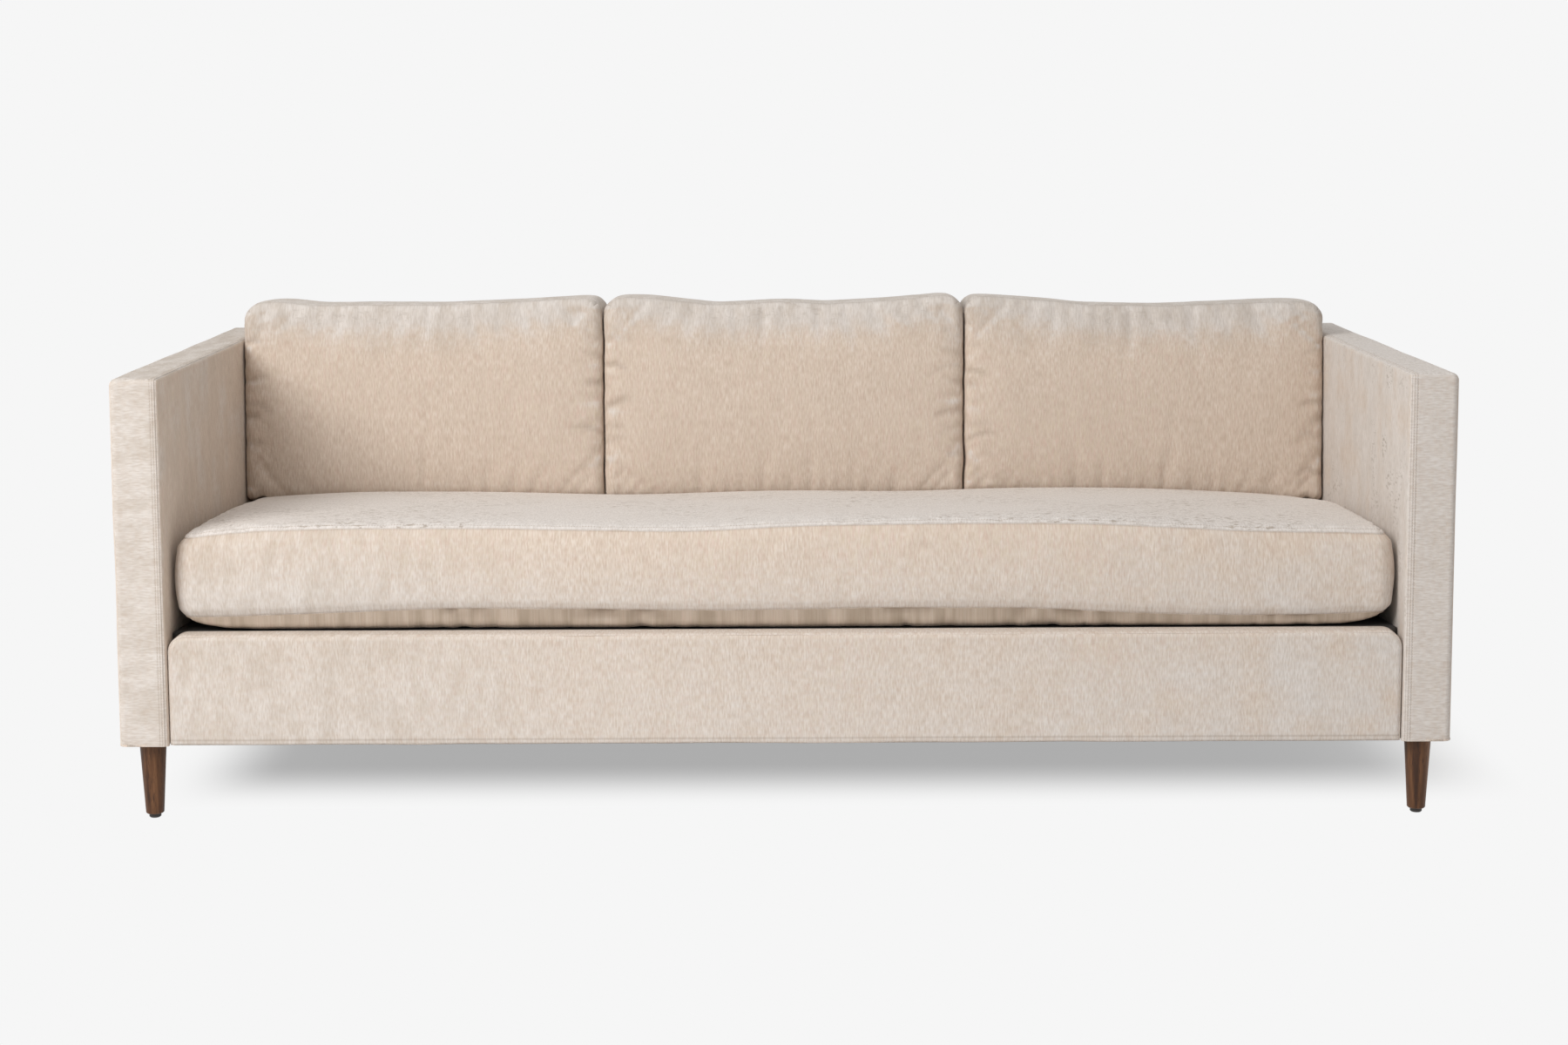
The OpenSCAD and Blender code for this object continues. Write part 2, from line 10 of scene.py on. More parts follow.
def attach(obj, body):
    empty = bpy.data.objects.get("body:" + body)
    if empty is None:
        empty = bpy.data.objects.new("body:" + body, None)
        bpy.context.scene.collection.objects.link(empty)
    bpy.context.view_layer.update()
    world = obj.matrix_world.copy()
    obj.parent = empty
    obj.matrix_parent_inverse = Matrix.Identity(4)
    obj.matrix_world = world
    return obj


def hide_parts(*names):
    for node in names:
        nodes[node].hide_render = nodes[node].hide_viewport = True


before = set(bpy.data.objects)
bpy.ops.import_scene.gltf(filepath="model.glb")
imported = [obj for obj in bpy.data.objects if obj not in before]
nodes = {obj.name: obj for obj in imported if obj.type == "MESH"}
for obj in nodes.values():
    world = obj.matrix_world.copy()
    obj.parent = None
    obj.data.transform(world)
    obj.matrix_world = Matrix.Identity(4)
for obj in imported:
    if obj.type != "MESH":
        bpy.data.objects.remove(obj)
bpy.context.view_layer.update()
print("frame loaded:", len(nodes), "nodes")


def linearColour(code):
    # sRGB hex to linear: c / 12.92 up to 0.04045, and ((c + 0.055) / 1.055) ^ 2.4 above it
    part = np.array([int(code[k:k + 2], 16) / 255 for k in (1, 3, 5)])
    linear = np.where(part <= 0.04045, part / 12.92, ((part + 0.055) / 1.055) ** 2.4)
    return (*linear.tolist(), 1.0)


def addNode(tree, kind, settings=None, links=None):
    # a shader node with its own settings, its sockets' values, and links from other sockets
    made = tree.nodes.new("ShaderNode" + kind)
    for name, value in (settings or {}).items():
        if name == "stops":
            for stop in value[2:]:
                made.color_ramp.elements.new(0.5)
            for element, stop in zip(made.color_ramp.elements, sorted(value)):
                element.position = stop[0]
                element.color = linearColour(stop[1])
        elif isinstance(name, int) or name in made.inputs:
            made.inputs[name].default_value = value
        else:
            setattr(made, name, value)
    for name, socket in (links or {}).items():
        tree.links.new(socket, made.inputs[name])
    return made


def newMaterial(name):
    made = bpy.data.materials.new(name)
    made.use_nodes = True
    return made, made.node_tree, made.node_tree.nodes["Principled BSDF"]


def dress(tree, shader, values, colour, height=None, relief=None):
    # the shader's plain values, its colour, and a relief of the given strength and depth in metres
    for name, value in values.items():
        shader.inputs[name].default_value = value
    tree.links.new(colour, shader.inputs["Base Color"])
    if height is not None:
        bump = addNode(tree, "Bump", {"Strength": relief[0], "Distance": relief[1]}, {"Height": height})
        tree.links.new(bump.outputs[0], shader.inputs["Normal"])


# Camera, lamps and floor. The floor's shadow sets in over shadowFront along Y and dies away over shadowSides
# and shadowBehind; a distance to the right counts for less, by shadowRight.
studio = dict(
    eye=(0.0005, -4.3442, 1.155), pitch=6.136, roll=-0.248, lens=57.12, sensor=36, shift=-0.10,
    background="#F6F6F6", paint="#F4F4F4", ambient=0.46, floorSide=60,
    key=dict(at=(-2.8, -3.4, 2.9), aim=(0.1, 0.0, 0.4), size=2.4, power=146),
    top=dict(at=(-0.3, -1.0, 3.7), aim=(0.0, 0.0, 0.4), size=2.4, power=20),
    shadowShare=0.56, shadowFront=(-0.37, -0.09), shadowSides=(0.86, 1.09), shadowBehind=(0.6, 2.2),
    shadowRight=0.86,
)


def addCamera():
    data = bpy.data.cameras.new("camera")
    data.lens = studio["lens"]
    data.sensor_width = studio["sensor"]
    data.shift_y = studio["shift"]
    camera = bpy.data.objects.new("camera", data)
    bpy.context.scene.collection.objects.link(camera)
    tilt = Euler((math.radians(90 - studio["pitch"]), 0, 0)).to_matrix().to_4x4()
    roll = Matrix.Rotation(math.radians(studio["roll"]), 4, "Z")
    camera.matrix_world = Matrix.Translation(studio["eye"]) @ tilt @ roll
    bpy.context.scene.camera = camera


def addLamp(name, lamp):
    data = bpy.data.lights.new(name, "AREA")
    data.shape = "DISK"
    data.size = lamp["size"]
    data.energy = lamp["power"]
    lampObject = bpy.data.objects.new(name, data)
    bpy.context.scene.collection.objects.link(lampObject)
    away = np.array(lamp["at"]) - np.array(lamp["aim"])
    turn = math.atan2(away[0], -away[1])
    tip = math.atan2(math.hypot(away[0], away[1]), away[2])
    lampObject.rotation_euler = (tip, 0, turn)
    lampObject.location = lamp["at"]


def rayIsSeen(tree):
    # 1 for camera, glossy and transmission rays, 0 for the rays that light the object
    path = addNode(tree, "LightPath")
    first = addNode(tree, "Math", {"operation": "MAXIMUM"},
                    {0: path.outputs["Is Camera Ray"], 1: path.outputs["Is Glossy Ray"]})
    both = addNode(tree, "Math", {"operation": "MAXIMUM"},
                   {0: first.outputs[0], 1: path.outputs["Is Transmission Ray"]})
    return both.outputs[0]


def addWorld():
    world = bpy.data.worlds.new("studio")
    bpy.context.scene.world = world
    world.use_nodes = True
    tree = world.node_tree
    tree.nodes.clear()
    around = addNode(tree, "Background", {"Color": (1, 1, 1, 1), "Strength": studio["ambient"]})
    shown = addNode(tree, "Background",
                    {"Color": linearColour(studio["background"]), "Strength": 1.0})
    mix = addNode(tree, "MixShader", None,
                  {0: rayIsSeen(tree), 1: around.outputs[0], 2: shown.outputs[0]})
    addNode(tree, "OutputWorld", None, {0: mix.outputs[0]})


def addFloor():
    # a pale floor that shows the background's own colour and keeps the object's shadow near it
    made, tree, shader = newMaterial("painted floor")
    tree.nodes.remove(shader)
    place = addNode(tree, "TexCoord")
    axes = addNode(tree, "SeparateXYZ", None, {0: place.outputs["Object"]}).outputs
    # the key stands at the left, so the shadow reaches further on the right: the greater of -x and 0.86 x
    ways = [addNode(tree, "Math", {"operation": "MULTIPLY", 1: factor}, {0: axes["X"]}).outputs[0]
            for factor in (-1.0, studio["shadowRight"])]
    aside = addNode(tree, "Math", {"operation": "MAXIMUM"}, {0: ways[0], 1: ways[1]}).outputs[0]
    share = None
    for value, ends, shares in ((axes["Y"], studio["shadowFront"], (0.0, studio["shadowShare"])),
                                (aside, studio["shadowSides"], (1.0, 0.0)),
                                (axes["Y"], studio["shadowBehind"], (1.0, 0.0))):
        fade = addNode(tree, "MapRange",
                       {"interpolation_type": "SMOOTHSTEP", "From Min": ends[0], "From Max": ends[1],
                        "To Min": shares[0], "To Max": shares[1]}, {"Value": value}).outputs["Result"]
        if share is None:
            share = fade
        else:
            share = addNode(tree, "Math", {"operation": "MULTIPLY"}, {0: share, 1: fade}).outputs[0]
    plain = addNode(tree, "Emission", {"Color": linearColour(studio["background"]), "Strength": 1.0})
    paint = addNode(tree, "BsdfDiffuse", {"Color": linearColour(studio["paint"])})
    seen = addNode(tree, "MixShader", None, {0: share, 1: plain.outputs[0], 2: paint.outputs[0]})
    mix = addNode(tree, "MixShader", None,
                  {0: rayIsSeen(tree), 1: paint.outputs[0], 2: seen.outputs[0]})
    tree.links.new(mix.outputs[0], tree.nodes["Material Output"].inputs["Surface"])
    half = studio["floorSide"] / 2
    corners = np.array([[-half, -half, 0], [half, -half, 0], [half, half, 0], [-half, half, 0]])
    floor = makePiece("floor", corners, np.array([[0, 1, 2, 3]]), made)


# Surfaces as whole arrays
def makePiece(name, points, quads, material, uv=None, marks=None):
    # a mesh object from points, faces of four corners, a UV pair for each corner, and values at the points
    mesh = bpy.data.meshes.new(name)
    mesh.vertices.add(len(points))
    mesh.vertices.foreach_set("co", points.astype(np.float32).ravel())
    mesh.loops.add(quads.size)
    mesh.loops.foreach_set("vertex_index", quads.astype(np.int32).ravel())
    mesh.polygons.add(len(quads))
    mesh.polygons.foreach_set("loop_start", np.arange(0, quads.size, 4, dtype=np.int32))
    if uv is not None:
        layer = mesh.uv_layers.new(name="cloth")
        layer.data.foreach_set("uv", uv.astype(np.float32).ravel())
    for mark, values in (marks or {}).items():
        attribute = mesh.attributes.new(mark, "FLOAT", "POINT")
        attribute.data.foreach_set("value", values.astype(np.float32))
    mesh.update(calc_edges=True)
    mesh.validate()
    mesh.shade_smooth()
    mesh.materials.append(material)
    made = bpy.data.objects.new(name, mesh)
    bpy.context.scene.collection.objects.link(made)
    return made


def boxLattice(lines):
    # the skin of a box ruled by three rising sets of lines: its points, each point's line numbers, faces that
    # look outwards, and each face's side: 2 * axis for its low end and 2 * axis + 1 for its high end
    counts = [len(line) - 1 for line in lines]
    corners = []
    sides = []
    for axis in range(3):
        first = (axis + 1) % 3
        second = (axis + 2) % 3
        grid = np.meshgrid(np.arange(counts[first]), np.arange(counts[second]), indexing="ij")
        cells = np.stack(grid, -1).reshape(-1, 2)
        for end in (0, 1):
            walk = np.array([(0, 0), (1, 0), (1, 1), (0, 1)])
            if end == 0:
                walk = walk[::-1]
            quad = np.zeros((len(cells), 4, 3), int)
            quad[:, :, axis] = end * counts[axis]
            quad[:, :, first] = cells[:, :1] + walk[:, 0]
            quad[:, :, second] = cells[:, 1:] + walk[:, 1]
            corners.append(quad)
            sides.append(np.full(len(cells), 2 * axis + end))
    corners = np.concatenate(corners)
    # a point's three line numbers as one number, so that equal corners become one point
    base = 4096
    code = (corners[..., 0] * base + corners[..., 1]) * base + corners[..., 2]
    _, index, inverse = np.unique(code.ravel(), return_index=True, return_inverse=True)
    numbers = corners.reshape(-1, 3)[index]
    points = np.stack([lines[k][numbers[:, k]] for k in range(3)], -1)
    return dict(points=points, numbers=numbers, quads=inverse.reshape(-1, 4),
                sides=np.concatenate(sides), counts=np.array(counts), lines=lines)


def clothMap(lattice, across, shift=0.0):
    # each face's own flat cloth: (U, V) are two of the corner's coordinates, in metres, as across names them
    # for each axis, and each side starts 1.7 m further along, so that no two sides show one pattern
    corner = lattice["points"][lattice["quads"]]
    axis = lattice["sides"] // 2
    pick = np.array(across)[axis]
    u = np.take_along_axis(corner, pick[:, None, :1], 2)[..., 0]
    v = np.take_along_axis(corner, pick[:, None, 1:], 2)[..., 0]
    start = (lattice["sides"] * 1.7 + shift)[:, None]
    return np.stack([u + start, v + start], -1)


def unevenLine(low, high, step, fine, border, ends=(True, True)):
    # positions from low to high: fine steps within a border at the named ends, each next step a quarter
    # longer until it is the plain step or nears the middle, and even steps between
    growth = 1.25
    steps = [fine] * int(round(border / fine))
    most = (high - low) * (0.42 if all(ends) else 0.84)
    longer = fine * growth
    while longer < step and sum(steps) + longer < most:
        steps.append(longer)
        longer = longer * growth
    edge = np.concatenate([[0.0], np.cumsum(steps)])
    start = edge if ends[0] else np.zeros(1)
    stop = edge if ends[1] else np.zeros(1)
    room = high - low - start[-1] - stop[-1]
    middle = np.linspace(low + start[-1], high - stop[-1], max(2, int(round(room / step)) + 1))
    return np.concatenate([low + start[:-1], middle, high - stop[:-1][::-1]])


def smoothStep(t):
    t = np.clip(t, 0, 1)
    return t * t * (3 - 2 * t)


def softNoise(x, y, size, seed):
    # value noise from -1 to 1: random heights on a square net of that size, blended by smooth steps
    side = 97
    net = np.random.default_rng(seed).uniform(-1, 1, (side, side))
    gx = np.asarray(x, float) / size + 13.37
    gy = np.asarray(y, float) / size + 7.71
    ix = np.floor(gx).astype(int)
    iy = np.floor(gy).astype(int)
    tx = smoothStep(gx - ix)
    ty = smoothStep(gy - iy)
    low = net[ix % side, iy % side] * (1 - tx) + net[(ix + 1) % side, iy % side] * tx
    high = net[ix % side, (iy + 1) % side] * (1 - tx) + net[(ix + 1) % side, (iy + 1) % side] * tx
    return low * (1 - ty) + high * ty


def bell(x, middle, width):
    # exp(-((x - middle) / width)^2)
    return np.exp(-((x - middle) / width) ** 2)


def bellRow(x, height, middle, width):
    # a bell of that height
    return height * bell(x, middle, width)


def smoothCurve(x, at, value):
    # a curve through a few given values: straight between them, with each corner rounded by averaging the
    # curve over a window of a tenth of its length
    count = 401
    half = 21
    fine = np.linspace(at[0], at[-1], count)
    plain = np.interp(fine, at, value)
    window = np.hanning(2 * half + 1)
    padded = np.concatenate([np.full(half, plain[0]), plain, np.full(half, plain[-1])])
    rounded = np.convolve(padded, window / window.sum(), "valid")
    return np.interp(x, fine, rounded)


def pointNormals(points, quads):
    # the sum of the faces' cross products of diagonals at each point, made one unit long
    corner = points[quads]
    face = np.cross(corner[:, 2] - corner[:, 0], corner[:, 3] - corner[:, 1])
    total = np.zeros_like(points)
    for k in range(4):
        np.add.at(total, quads[:, k], face)
    return total / np.maximum(np.linalg.norm(total, axis=1, keepdims=True), 1e-12)


def roundPlan(a, b, halfA, halfB, radius):
    # the corners of a rectangle made round: in the corner's square, a point moves towards the arc's centre
    # until its greatest coordinate becomes its distance, so that squares about the centre become circles
    da = np.abs(a) - (halfA - radius)
    db = np.abs(b) - (halfB - radius)
    inside = (da > 0) & (db > 0)
    reach = np.maximum(da, db)
    length = np.maximum(np.hypot(da, db), 1e-9)
    scale = np.where(inside, reach / length, 1.0)
    newA = np.where(inside, np.sign(a) * (halfA - radius + da * scale), a)
    newB = np.where(inside, np.sign(b) * (halfB - radius + db * scale), b)
    return newA, newB


def sampleSkin(lattice, field, fine):
    # a field known at a coarse lattice's points, carried to a fine lattice of the same box by cubics
    # through the four nearest lines each way
    counts = lattice["counts"]
    whole = np.zeros((*(counts + 1), 3))
    whole[tuple(lattice["numbers"].T)] = field
    step = [np.interp(fine["points"][:, k], lattice["lines"][k], np.arange(counts[k] + 1)) for k in range(3)]
    result = np.zeros_like(fine["points"])
    for side in range(6):
        axis, end = divmod(side, 2)
        on = fine["numbers"][:, axis] == end * fine["counts"][axis]
        first, second = [k for k in range(3) if k != axis]
        grid = np.take(whole, end * counts[axis], axis)
        result[on] = sampleGrid(grid, step[first][on], step[second][on])
    return result


def sampleGrid(grid, fa, fb):
    # Catmull-Rom: for a remainder t the four weights are (-t + 2t^2 - t^3, 2 - 5t^2 + 3t^3,
    # t + 4t^2 - 3t^3, -t^2 + t^3) / 2
    def weights(t):
        return np.array([-t + 2 * t ** 2 - t ** 3, 2 - 5 * t ** 2 + 3 * t ** 3,
                         t + 4 * t ** 2 - 3 * t ** 3, -t ** 2 + t ** 3]) / 2
    ia = np.clip(np.floor(fa).astype(int), 0, grid.shape[0] - 2)
    ib = np.clip(np.floor(fb).astype(int), 0, grid.shape[1] - 2)
    wa = weights(fa - ia)
    wb = weights(fb - ib)
    total = 0
    for i in range(4):
        for j in range(4):
            row = np.clip(ia + i - 1, 0, grid.shape[0] - 1)
            column = np.clip(ib + j - 1, 0, grid.shape[1] - 1)
            total = total + (wa[i] * wb[j])[:, None] * grid[row, column]
    return total


# Materials. Each of the velvet's patterns is so many metres wide and long. The lean colours also carry
# painted light, and the last two colours on their line are painted shade.
velvet = dict(
    pile="#D5C4B4", pileDeep="#C8B5A4", pileLight="#E0D2C5", pink="#DABFB1", straw="#D4C3AB",
    lean="#D1C9C2", leanLight="#E0D9D3", fleckTone="#A6998C", shadeTone="#9C8C79", seam="#8E7C6C",
    sheen="#FFF6EC",
    rib=(0.0024, 0.013), yarn=(0.0048, 0.024), fleck=(0.0120, 0.0056), patch=(0.022, 0.060),
    broad=(0.21, 0.26),
)


def chenilleVelvet():
    # Polyester chenille velvet: soft cut yarns woven in close ribs. The pile lies over in patches, so the eye
    # sees fine streaks along the ribs, a warm tone on upright cloth and a greyer one where it is crushed.
    # Marks on the pieces also paint light and shade into the colour.
    made, tree, shader = newMaterial("chenille velvet")
    cloth = addNode(tree, "UVMap", {"uv_map": "cloth"}).outputs[0]

    def pattern(size, detail, offset):
        # noise whose cells have that width across the ribs and that length along them
        place = addNode(tree, "Mapping",
                        {"Location": (offset, offset, offset), "Scale": (1 / size[0], 1 / size[1], 1)},
                        {"Vector": cloth})
        return addNode(tree, "TexNoise", {"Scale": 1.0, "Detail": detail, "Roughness": 0.55},
                       {"Vector": place.outputs[0]}).outputs["Fac"]

    rib = pattern(velvet["rib"], 1.0, 0.0)
    yarn = pattern(velvet["yarn"], 2.0, 3.1)
    fleck = pattern(velvet["fleck"], 2.0, 5.3)
    patch = pattern(velvet["patch"], 3.0, 9.7)
    broad = pattern(velvet["broad"], 2.0, 17.9)

    # upright cloth: light and deep ribs, with pink and straw yarns among them
    streak = addNode(tree, "Math", {"operation": "MULTIPLY_ADD", 1: 0.72}, {0: rib})
    half = addNode(tree, "Math", {"operation": "MULTIPLY", 1: 0.28}, {0: yarn})
    tree.links.new(half.outputs[0], streak.inputs[2])
    upright = addNode(tree, "ValToRGB",
                      {"stops": [(0.34, velvet["pileDeep"]), (0.66, velvet["pileLight"]),
                                 (0.5, velvet["pile"])]},
                      {0: streak.outputs[0]})
    tint = addNode(tree, "ValToRGB",
                   {"stops": [(0.36, velvet["pink"]), (0.64, velvet["straw"]), (0.5, velvet["pile"])]},
                   {0: yarn})
    pinkShare = addNode(tree, "MapRange",
                        {"From Min": 0.35, "From Max": 0.7, "To Min": 0.12, "To Max": 0.42},
                        {"Value": broad})
    warm = addNode(tree, "Mix", {"data_type": "RGBA"},
                   {0: pinkShare.outputs[0], 6: upright.outputs[0], 7: tint.outputs[0]})

    # crushed cloth, which also stands for painted light: paler and greyer; where it is wholly crushed the
    # pile parts in clusters of dark flecks
    pale = addNode(tree, "Attribute", {"attribute_name": "pale"}).outputs["Fac"]
    flat = addNode(tree, "ValToRGB",
                   {"stops": [(0.38, velvet["lean"]), (0.62, velvet["leanLight"])]}, {0: streak.outputs[0]})
    part = addNode(tree, "MapRange",
                   {"From Min": 0.56, "From Max": 0.65, "To Min": 0.0, "To Max": 0.78}, {"Value": fleck})
    cluster = addNode(tree, "MapRange",
                      {"From Min": 0.42, "From Max": 0.56, "To Min": 0.08, "To Max": 1.0}, {"Value": broad})
    whole = addNode(tree, "MapRange",
                    {"From Min": 0.82, "From Max": 0.95, "To Min": 0.0, "To Max": 1.0}, {"Value": pale})
    grouped = addNode(tree, "Math", {"operation": "MULTIPLY"},
                      {0: part.outputs[0], 1: cluster.outputs[0]})
    parted = addNode(tree, "Math", {"operation": "MULTIPLY"},
                     {0: grouped.outputs[0], 1: whole.outputs[0]})
    crushedAndLit = addNode(tree, "Mix", {"data_type": "RGBA", 7: linearColour(velvet["fleckTone"])},
                      {0: parted.outputs[0], 6: flat.outputs[0]})

    # the mark "pale" says how far the pile lies over and paints light on faces that turn up to it; patches,
    # flecks and ribs break up its edge
    uneven = addNode(tree, "Math", {"operation": "MULTIPLY_ADD", 1: 0.28}, {0: patch, 2: pale})
    ragged = addNode(tree, "Math", {"operation": "MULTIPLY_ADD", 1: 0.45},
                     {0: fleck, 2: uneven.outputs[0]})
    combed = addNode(tree, "Math", {"operation": "MULTIPLY_ADD", 1: 0.5},
                     {0: streak.outputs[0], 2: ragged.outputs[0]})
    share = addNode(tree, "MapRange",
                    {"interpolation_type": "SMOOTHSTEP", "From Min": 0.65, "From Max": 1.57},
                    {"Value": combed.outputs[0]})
    both = addNode(tree, "Mix", {"data_type": "RGBA"},
                   {0: share.outputs[0], 6: warm.outputs[2], 7: crushedAndLit.outputs[2]})

    # painted shade: this mark deepens the colour as shade would, where the pile stands up and the eye looks
    # into it, on faces turned from the light and where another part shades the cloth; more in some patches
    # than in others
    nap = addNode(tree, "Attribute", {"attribute_name": "nap"}).outputs["Fac"]
    clumped = addNode(tree, "MapRange",
                      {"From Min": 0.36, "From Max": 0.62, "To Min": 1.4, "To Max": 0.6}, {"Value": patch})
    deep = addNode(tree, "Math", {"operation": "MULTIPLY", "use_clamp": True},
                   {0: nap, 1: clumped.outputs[0]})
    shadeTone = addNode(tree, "Mix", {"data_type": "RGBA", 7: linearColour(velvet["shadeTone"])},
                    {0: deep.outputs[0], 6: both.outputs[2]})

    # painted shade: the mark "seam" darkens the cloth where it dips to a row of stitches, and in folds and
    # puckers
    seam = addNode(tree, "Attribute", {"attribute_name": "seam"}).outputs["Fac"]
    colour = addNode(tree, "Mix", {"data_type": "RGBA", 7: linearColour(velvet["seam"])},
                     {0: seam, 6: shadeTone.outputs[2]})

    # relief: fine ribs and flecks on the soft dimples of the filling
    height = addNode(tree, "Math", {"operation": "MULTIPLY_ADD", 1: 0.7}, {0: rib, 2: fleck})
    dimples = addNode(tree, "Math", {"operation": "MULTIPLY_ADD", 1: 2.2}, {0: patch, 2: height.outputs[0]})
    values = {"Roughness": 0.92, "IOR": 1.45, "Specular IOR Level": 0.25, "Sheen Weight": 0.22,
              "Sheen Roughness": 0.45, "Sheen Tint": linearColour(velvet["sheen"])}
    dress(tree, shader, values, colour.outputs[2], dimples.outputs[0], (0.35, 0.0012))
    return made


def threadMaterial():
    # bonded polyester thread, a shade deeper than the pile, with a slight gloss
    made, tree, shader = newMaterial("polyester thread")
    place = addNode(tree, "TexCoord")
    twist = addNode(tree, "TexNoise", {"Scale": 900.0, "Detail": 1.0},
                    {"Vector": place.outputs["Object"]})
    colour = addNode(tree, "ValToRGB", {"stops": [(0.35, "#A89685"), (0.65, "#C4B4A3")]},
                     {0: twist.outputs["Fac"]})
    dress(tree, shader, {"Roughness": 0.6}, colour.outputs[0])
    return made


def walnut():
    # Oiled walnut, turned: brown heartwood with long dark pores and darker bands along the grain, and a low
    # satin gloss
    made, tree, shader = newMaterial("oiled walnut")
    place = addNode(tree, "TexCoord").outputs["Object"]
    bandPlace = addNode(tree, "Mapping", {"Scale": (95, 95, 5), "Rotation": (0.03, 0.02, 0)},
                        {"Vector": place})
    band = addNode(tree, "TexNoise", {"Scale": 1.0, "Detail": 3.0, "Distortion": 0.6},
                   {"Vector": bandPlace.outputs[0]})
    porePlace = addNode(tree, "Mapping", {"Scale": (900, 900, 40)}, {"Vector": place})
    pore = addNode(tree, "TexNoise", {"Scale": 1.0, "Detail": 1.0}, {"Vector": porePlace.outputs[0]})
    colour = addNode(tree, "ValToRGB",
                     {"stops": [(0.30, "#3C2415"), (0.72, "#80583A"), (0.42, "#54351F"), (0.55, "#68452B")]},
                     {0: band.outputs["Fac"]})
    dark = addNode(tree, "MapRange",
                   {"From Min": 0.58, "From Max": 0.70, "To Min": 0.0, "To Max": 0.7},
                   {"Value": pore.outputs["Fac"]})
    grain = addNode(tree, "Mix", {"data_type": "RGBA", 7: linearColour("#2E1C12")},
                    {0: dark.outputs[0], 6: colour.outputs[0]})
    dress(tree, shader, {"Roughness": 0.48, "IOR": 1.5, "Specular IOR Level": 0.3}, grain.outputs[2],
          pore.outputs["Fac"], (0.25, 0.0004))
    return made


def speckled(name, stops, spacing, stretch=(1, 1, 1), roughness=0.8, metal=0.0, strength=0.3, depth=0.0005):
    # a plain material whose colour and small relief vary with a noise of the given spacing in metres
    made, tree, shader = newMaterial(name)
    place = addNode(tree, "TexCoord").outputs["Object"]
    scale = tuple(k / spacing for k in stretch)
    turned = addNode(tree, "Mapping", {"Scale": scale}, {"Vector": place})
    grain = addNode(tree, "TexNoise", {"Scale": 1.0, "Detail": 4.0, "Roughness": 0.6},
                    {"Vector": turned.outputs[0]})
    colour = addNode(tree, "ValToRGB", {"stops": stops}, {0: grain.outputs["Fac"]})
    dress(tree, shader, {"Roughness": roughness, "Metallic": metal}, colour.outputs[0], grain.outputs["Fac"],
          (strength, depth))
    return made


def wovenStrap(name, light, dark, spacing):
    # plain weave: two sets of threads cross at the given spacing in metres, each in turn on top
    made, tree, shader = newMaterial(name)
    place = addNode(tree, "TexCoord").outputs["Object"]
    waves = []
    for axis in ("X", "Z"):
        waves.append(addNode(tree, "TexWave",
                             {"bands_direction": axis, "Scale": 0.314 / spacing, "Distortion": 0.4,
                              "Detail": 1.0, "Detail Scale": 3.0}, {"Vector": place}).outputs["Fac"])
    cross = addNode(tree, "Math", {"operation": "MULTIPLY"}, {0: waves[0], 1: waves[1]})
    colour = addNode(tree, "ValToRGB", {"stops": [(0.0, dark), (0.6, light)]},
                     {0: cross.outputs[0]})
    dress(tree, shader, {"Roughness": 0.85}, colour.outputs[0], cross.outputs[0], (0.5, 0.0006))
    return made


def finishNodes():
    # the CAD nodes that stay in view or show when the cushions are lifted, by the start of their names; where
    # two starts fit a name, the later one holds
    planed = [(0.35, "#BF9A6B"), (0.5, "#CFAE80"), (0.65, "#DBBF95")]
    finishes = [
        (walnut(), ["leg_"]),
        (speckled("moulded nylon", [(0.4, "#231E1B"), (0.6, "#332C28")], 0.0015, roughness=0.55,
                  depth=0.0001),
         ["glide_"]),
        (speckled("planed beech", planed, 0.004, (0.05, 1, 1), 0.65),
         ["front_rail", "back_rail", "seat_stretchers", "corner_blocks", "back_top_rail", "back_web_rail",
          "front_cleat", "back_cleat"]),
        (speckled("planed beech along the depth", planed, 0.004, (1, 0.05, 1), 0.65),
         ["side_rails", "arm_top_rails", "arm_tack_rails"]),
        (speckled("planed beech upright", planed, 0.004, (1, 1, 0.05), 0.65),
         ["front_posts", "back_posts", "back_uprights"]),
        (speckled("oil-tempered hardboard", [(0.35, "#6E4E31"), (0.65, "#8F6C4A")], 0.0025, roughness=0.6),
         ["arm_inner_panels", "arm_outer_panels", "outer_back_panel"]),
        (speckled("zinc-plated steel", [(0.35, "#9EA3A8"), (0.65, "#BBC0C4")], 0.006, roughness=0.35,
                  metal=1.0, strength=0.1, depth=0.0001),
         ["seat_springs", "spring_clips", "tie_wires", "hanger_bolts", "leg_plates", "plate_screws"]),
        (wovenStrap("polypropylene webbing", "#C8BBA2", "#8E8069", 0.003), ["back_webbing"]),
        (speckled("polyurethane foam", [(0.35, "#E6D9B4"), (0.65, "#F3EBD0")], 0.0016, roughness=0.95,
                  strength=0.6),
         ["deck_pad", "arm_pad", "back_pad", "rail_pad", "seat_cushion_core", "back_cushion_core"]),
        (speckled("cotton decking", [(0.35, "#2C2926"), (0.65, "#3B3733")], 0.0012, roughness=0.95,
                  strength=0.5),
         ["deck_cloth"]),
        (speckled("spunbond dust cloth", [(0.35, "#1F1E1D"), (0.65, "#32302E")], 0.0022, roughness=0.9,
                  strength=0.5),
         ["dust_cover"]),
    ]
    for material, starts in finishes:
        for name, node in nodes.items():
            if name.startswith(tuple(starts)):
                node.data.materials.clear()
                node.data.materials.append(material)


# Padded pieces. A panel rises within so many metres of its seam; the simulation starts from part of the full
# shape, a little uneven, and its sideways bulge is capped and kept from falling short.
filling = dict(rise=0.018, start=0.75, uneven=0.0008, unevenSize=0.04, cap=0.7, least=0.95, fine=0.0013,
               border=0.0105, frames=20)


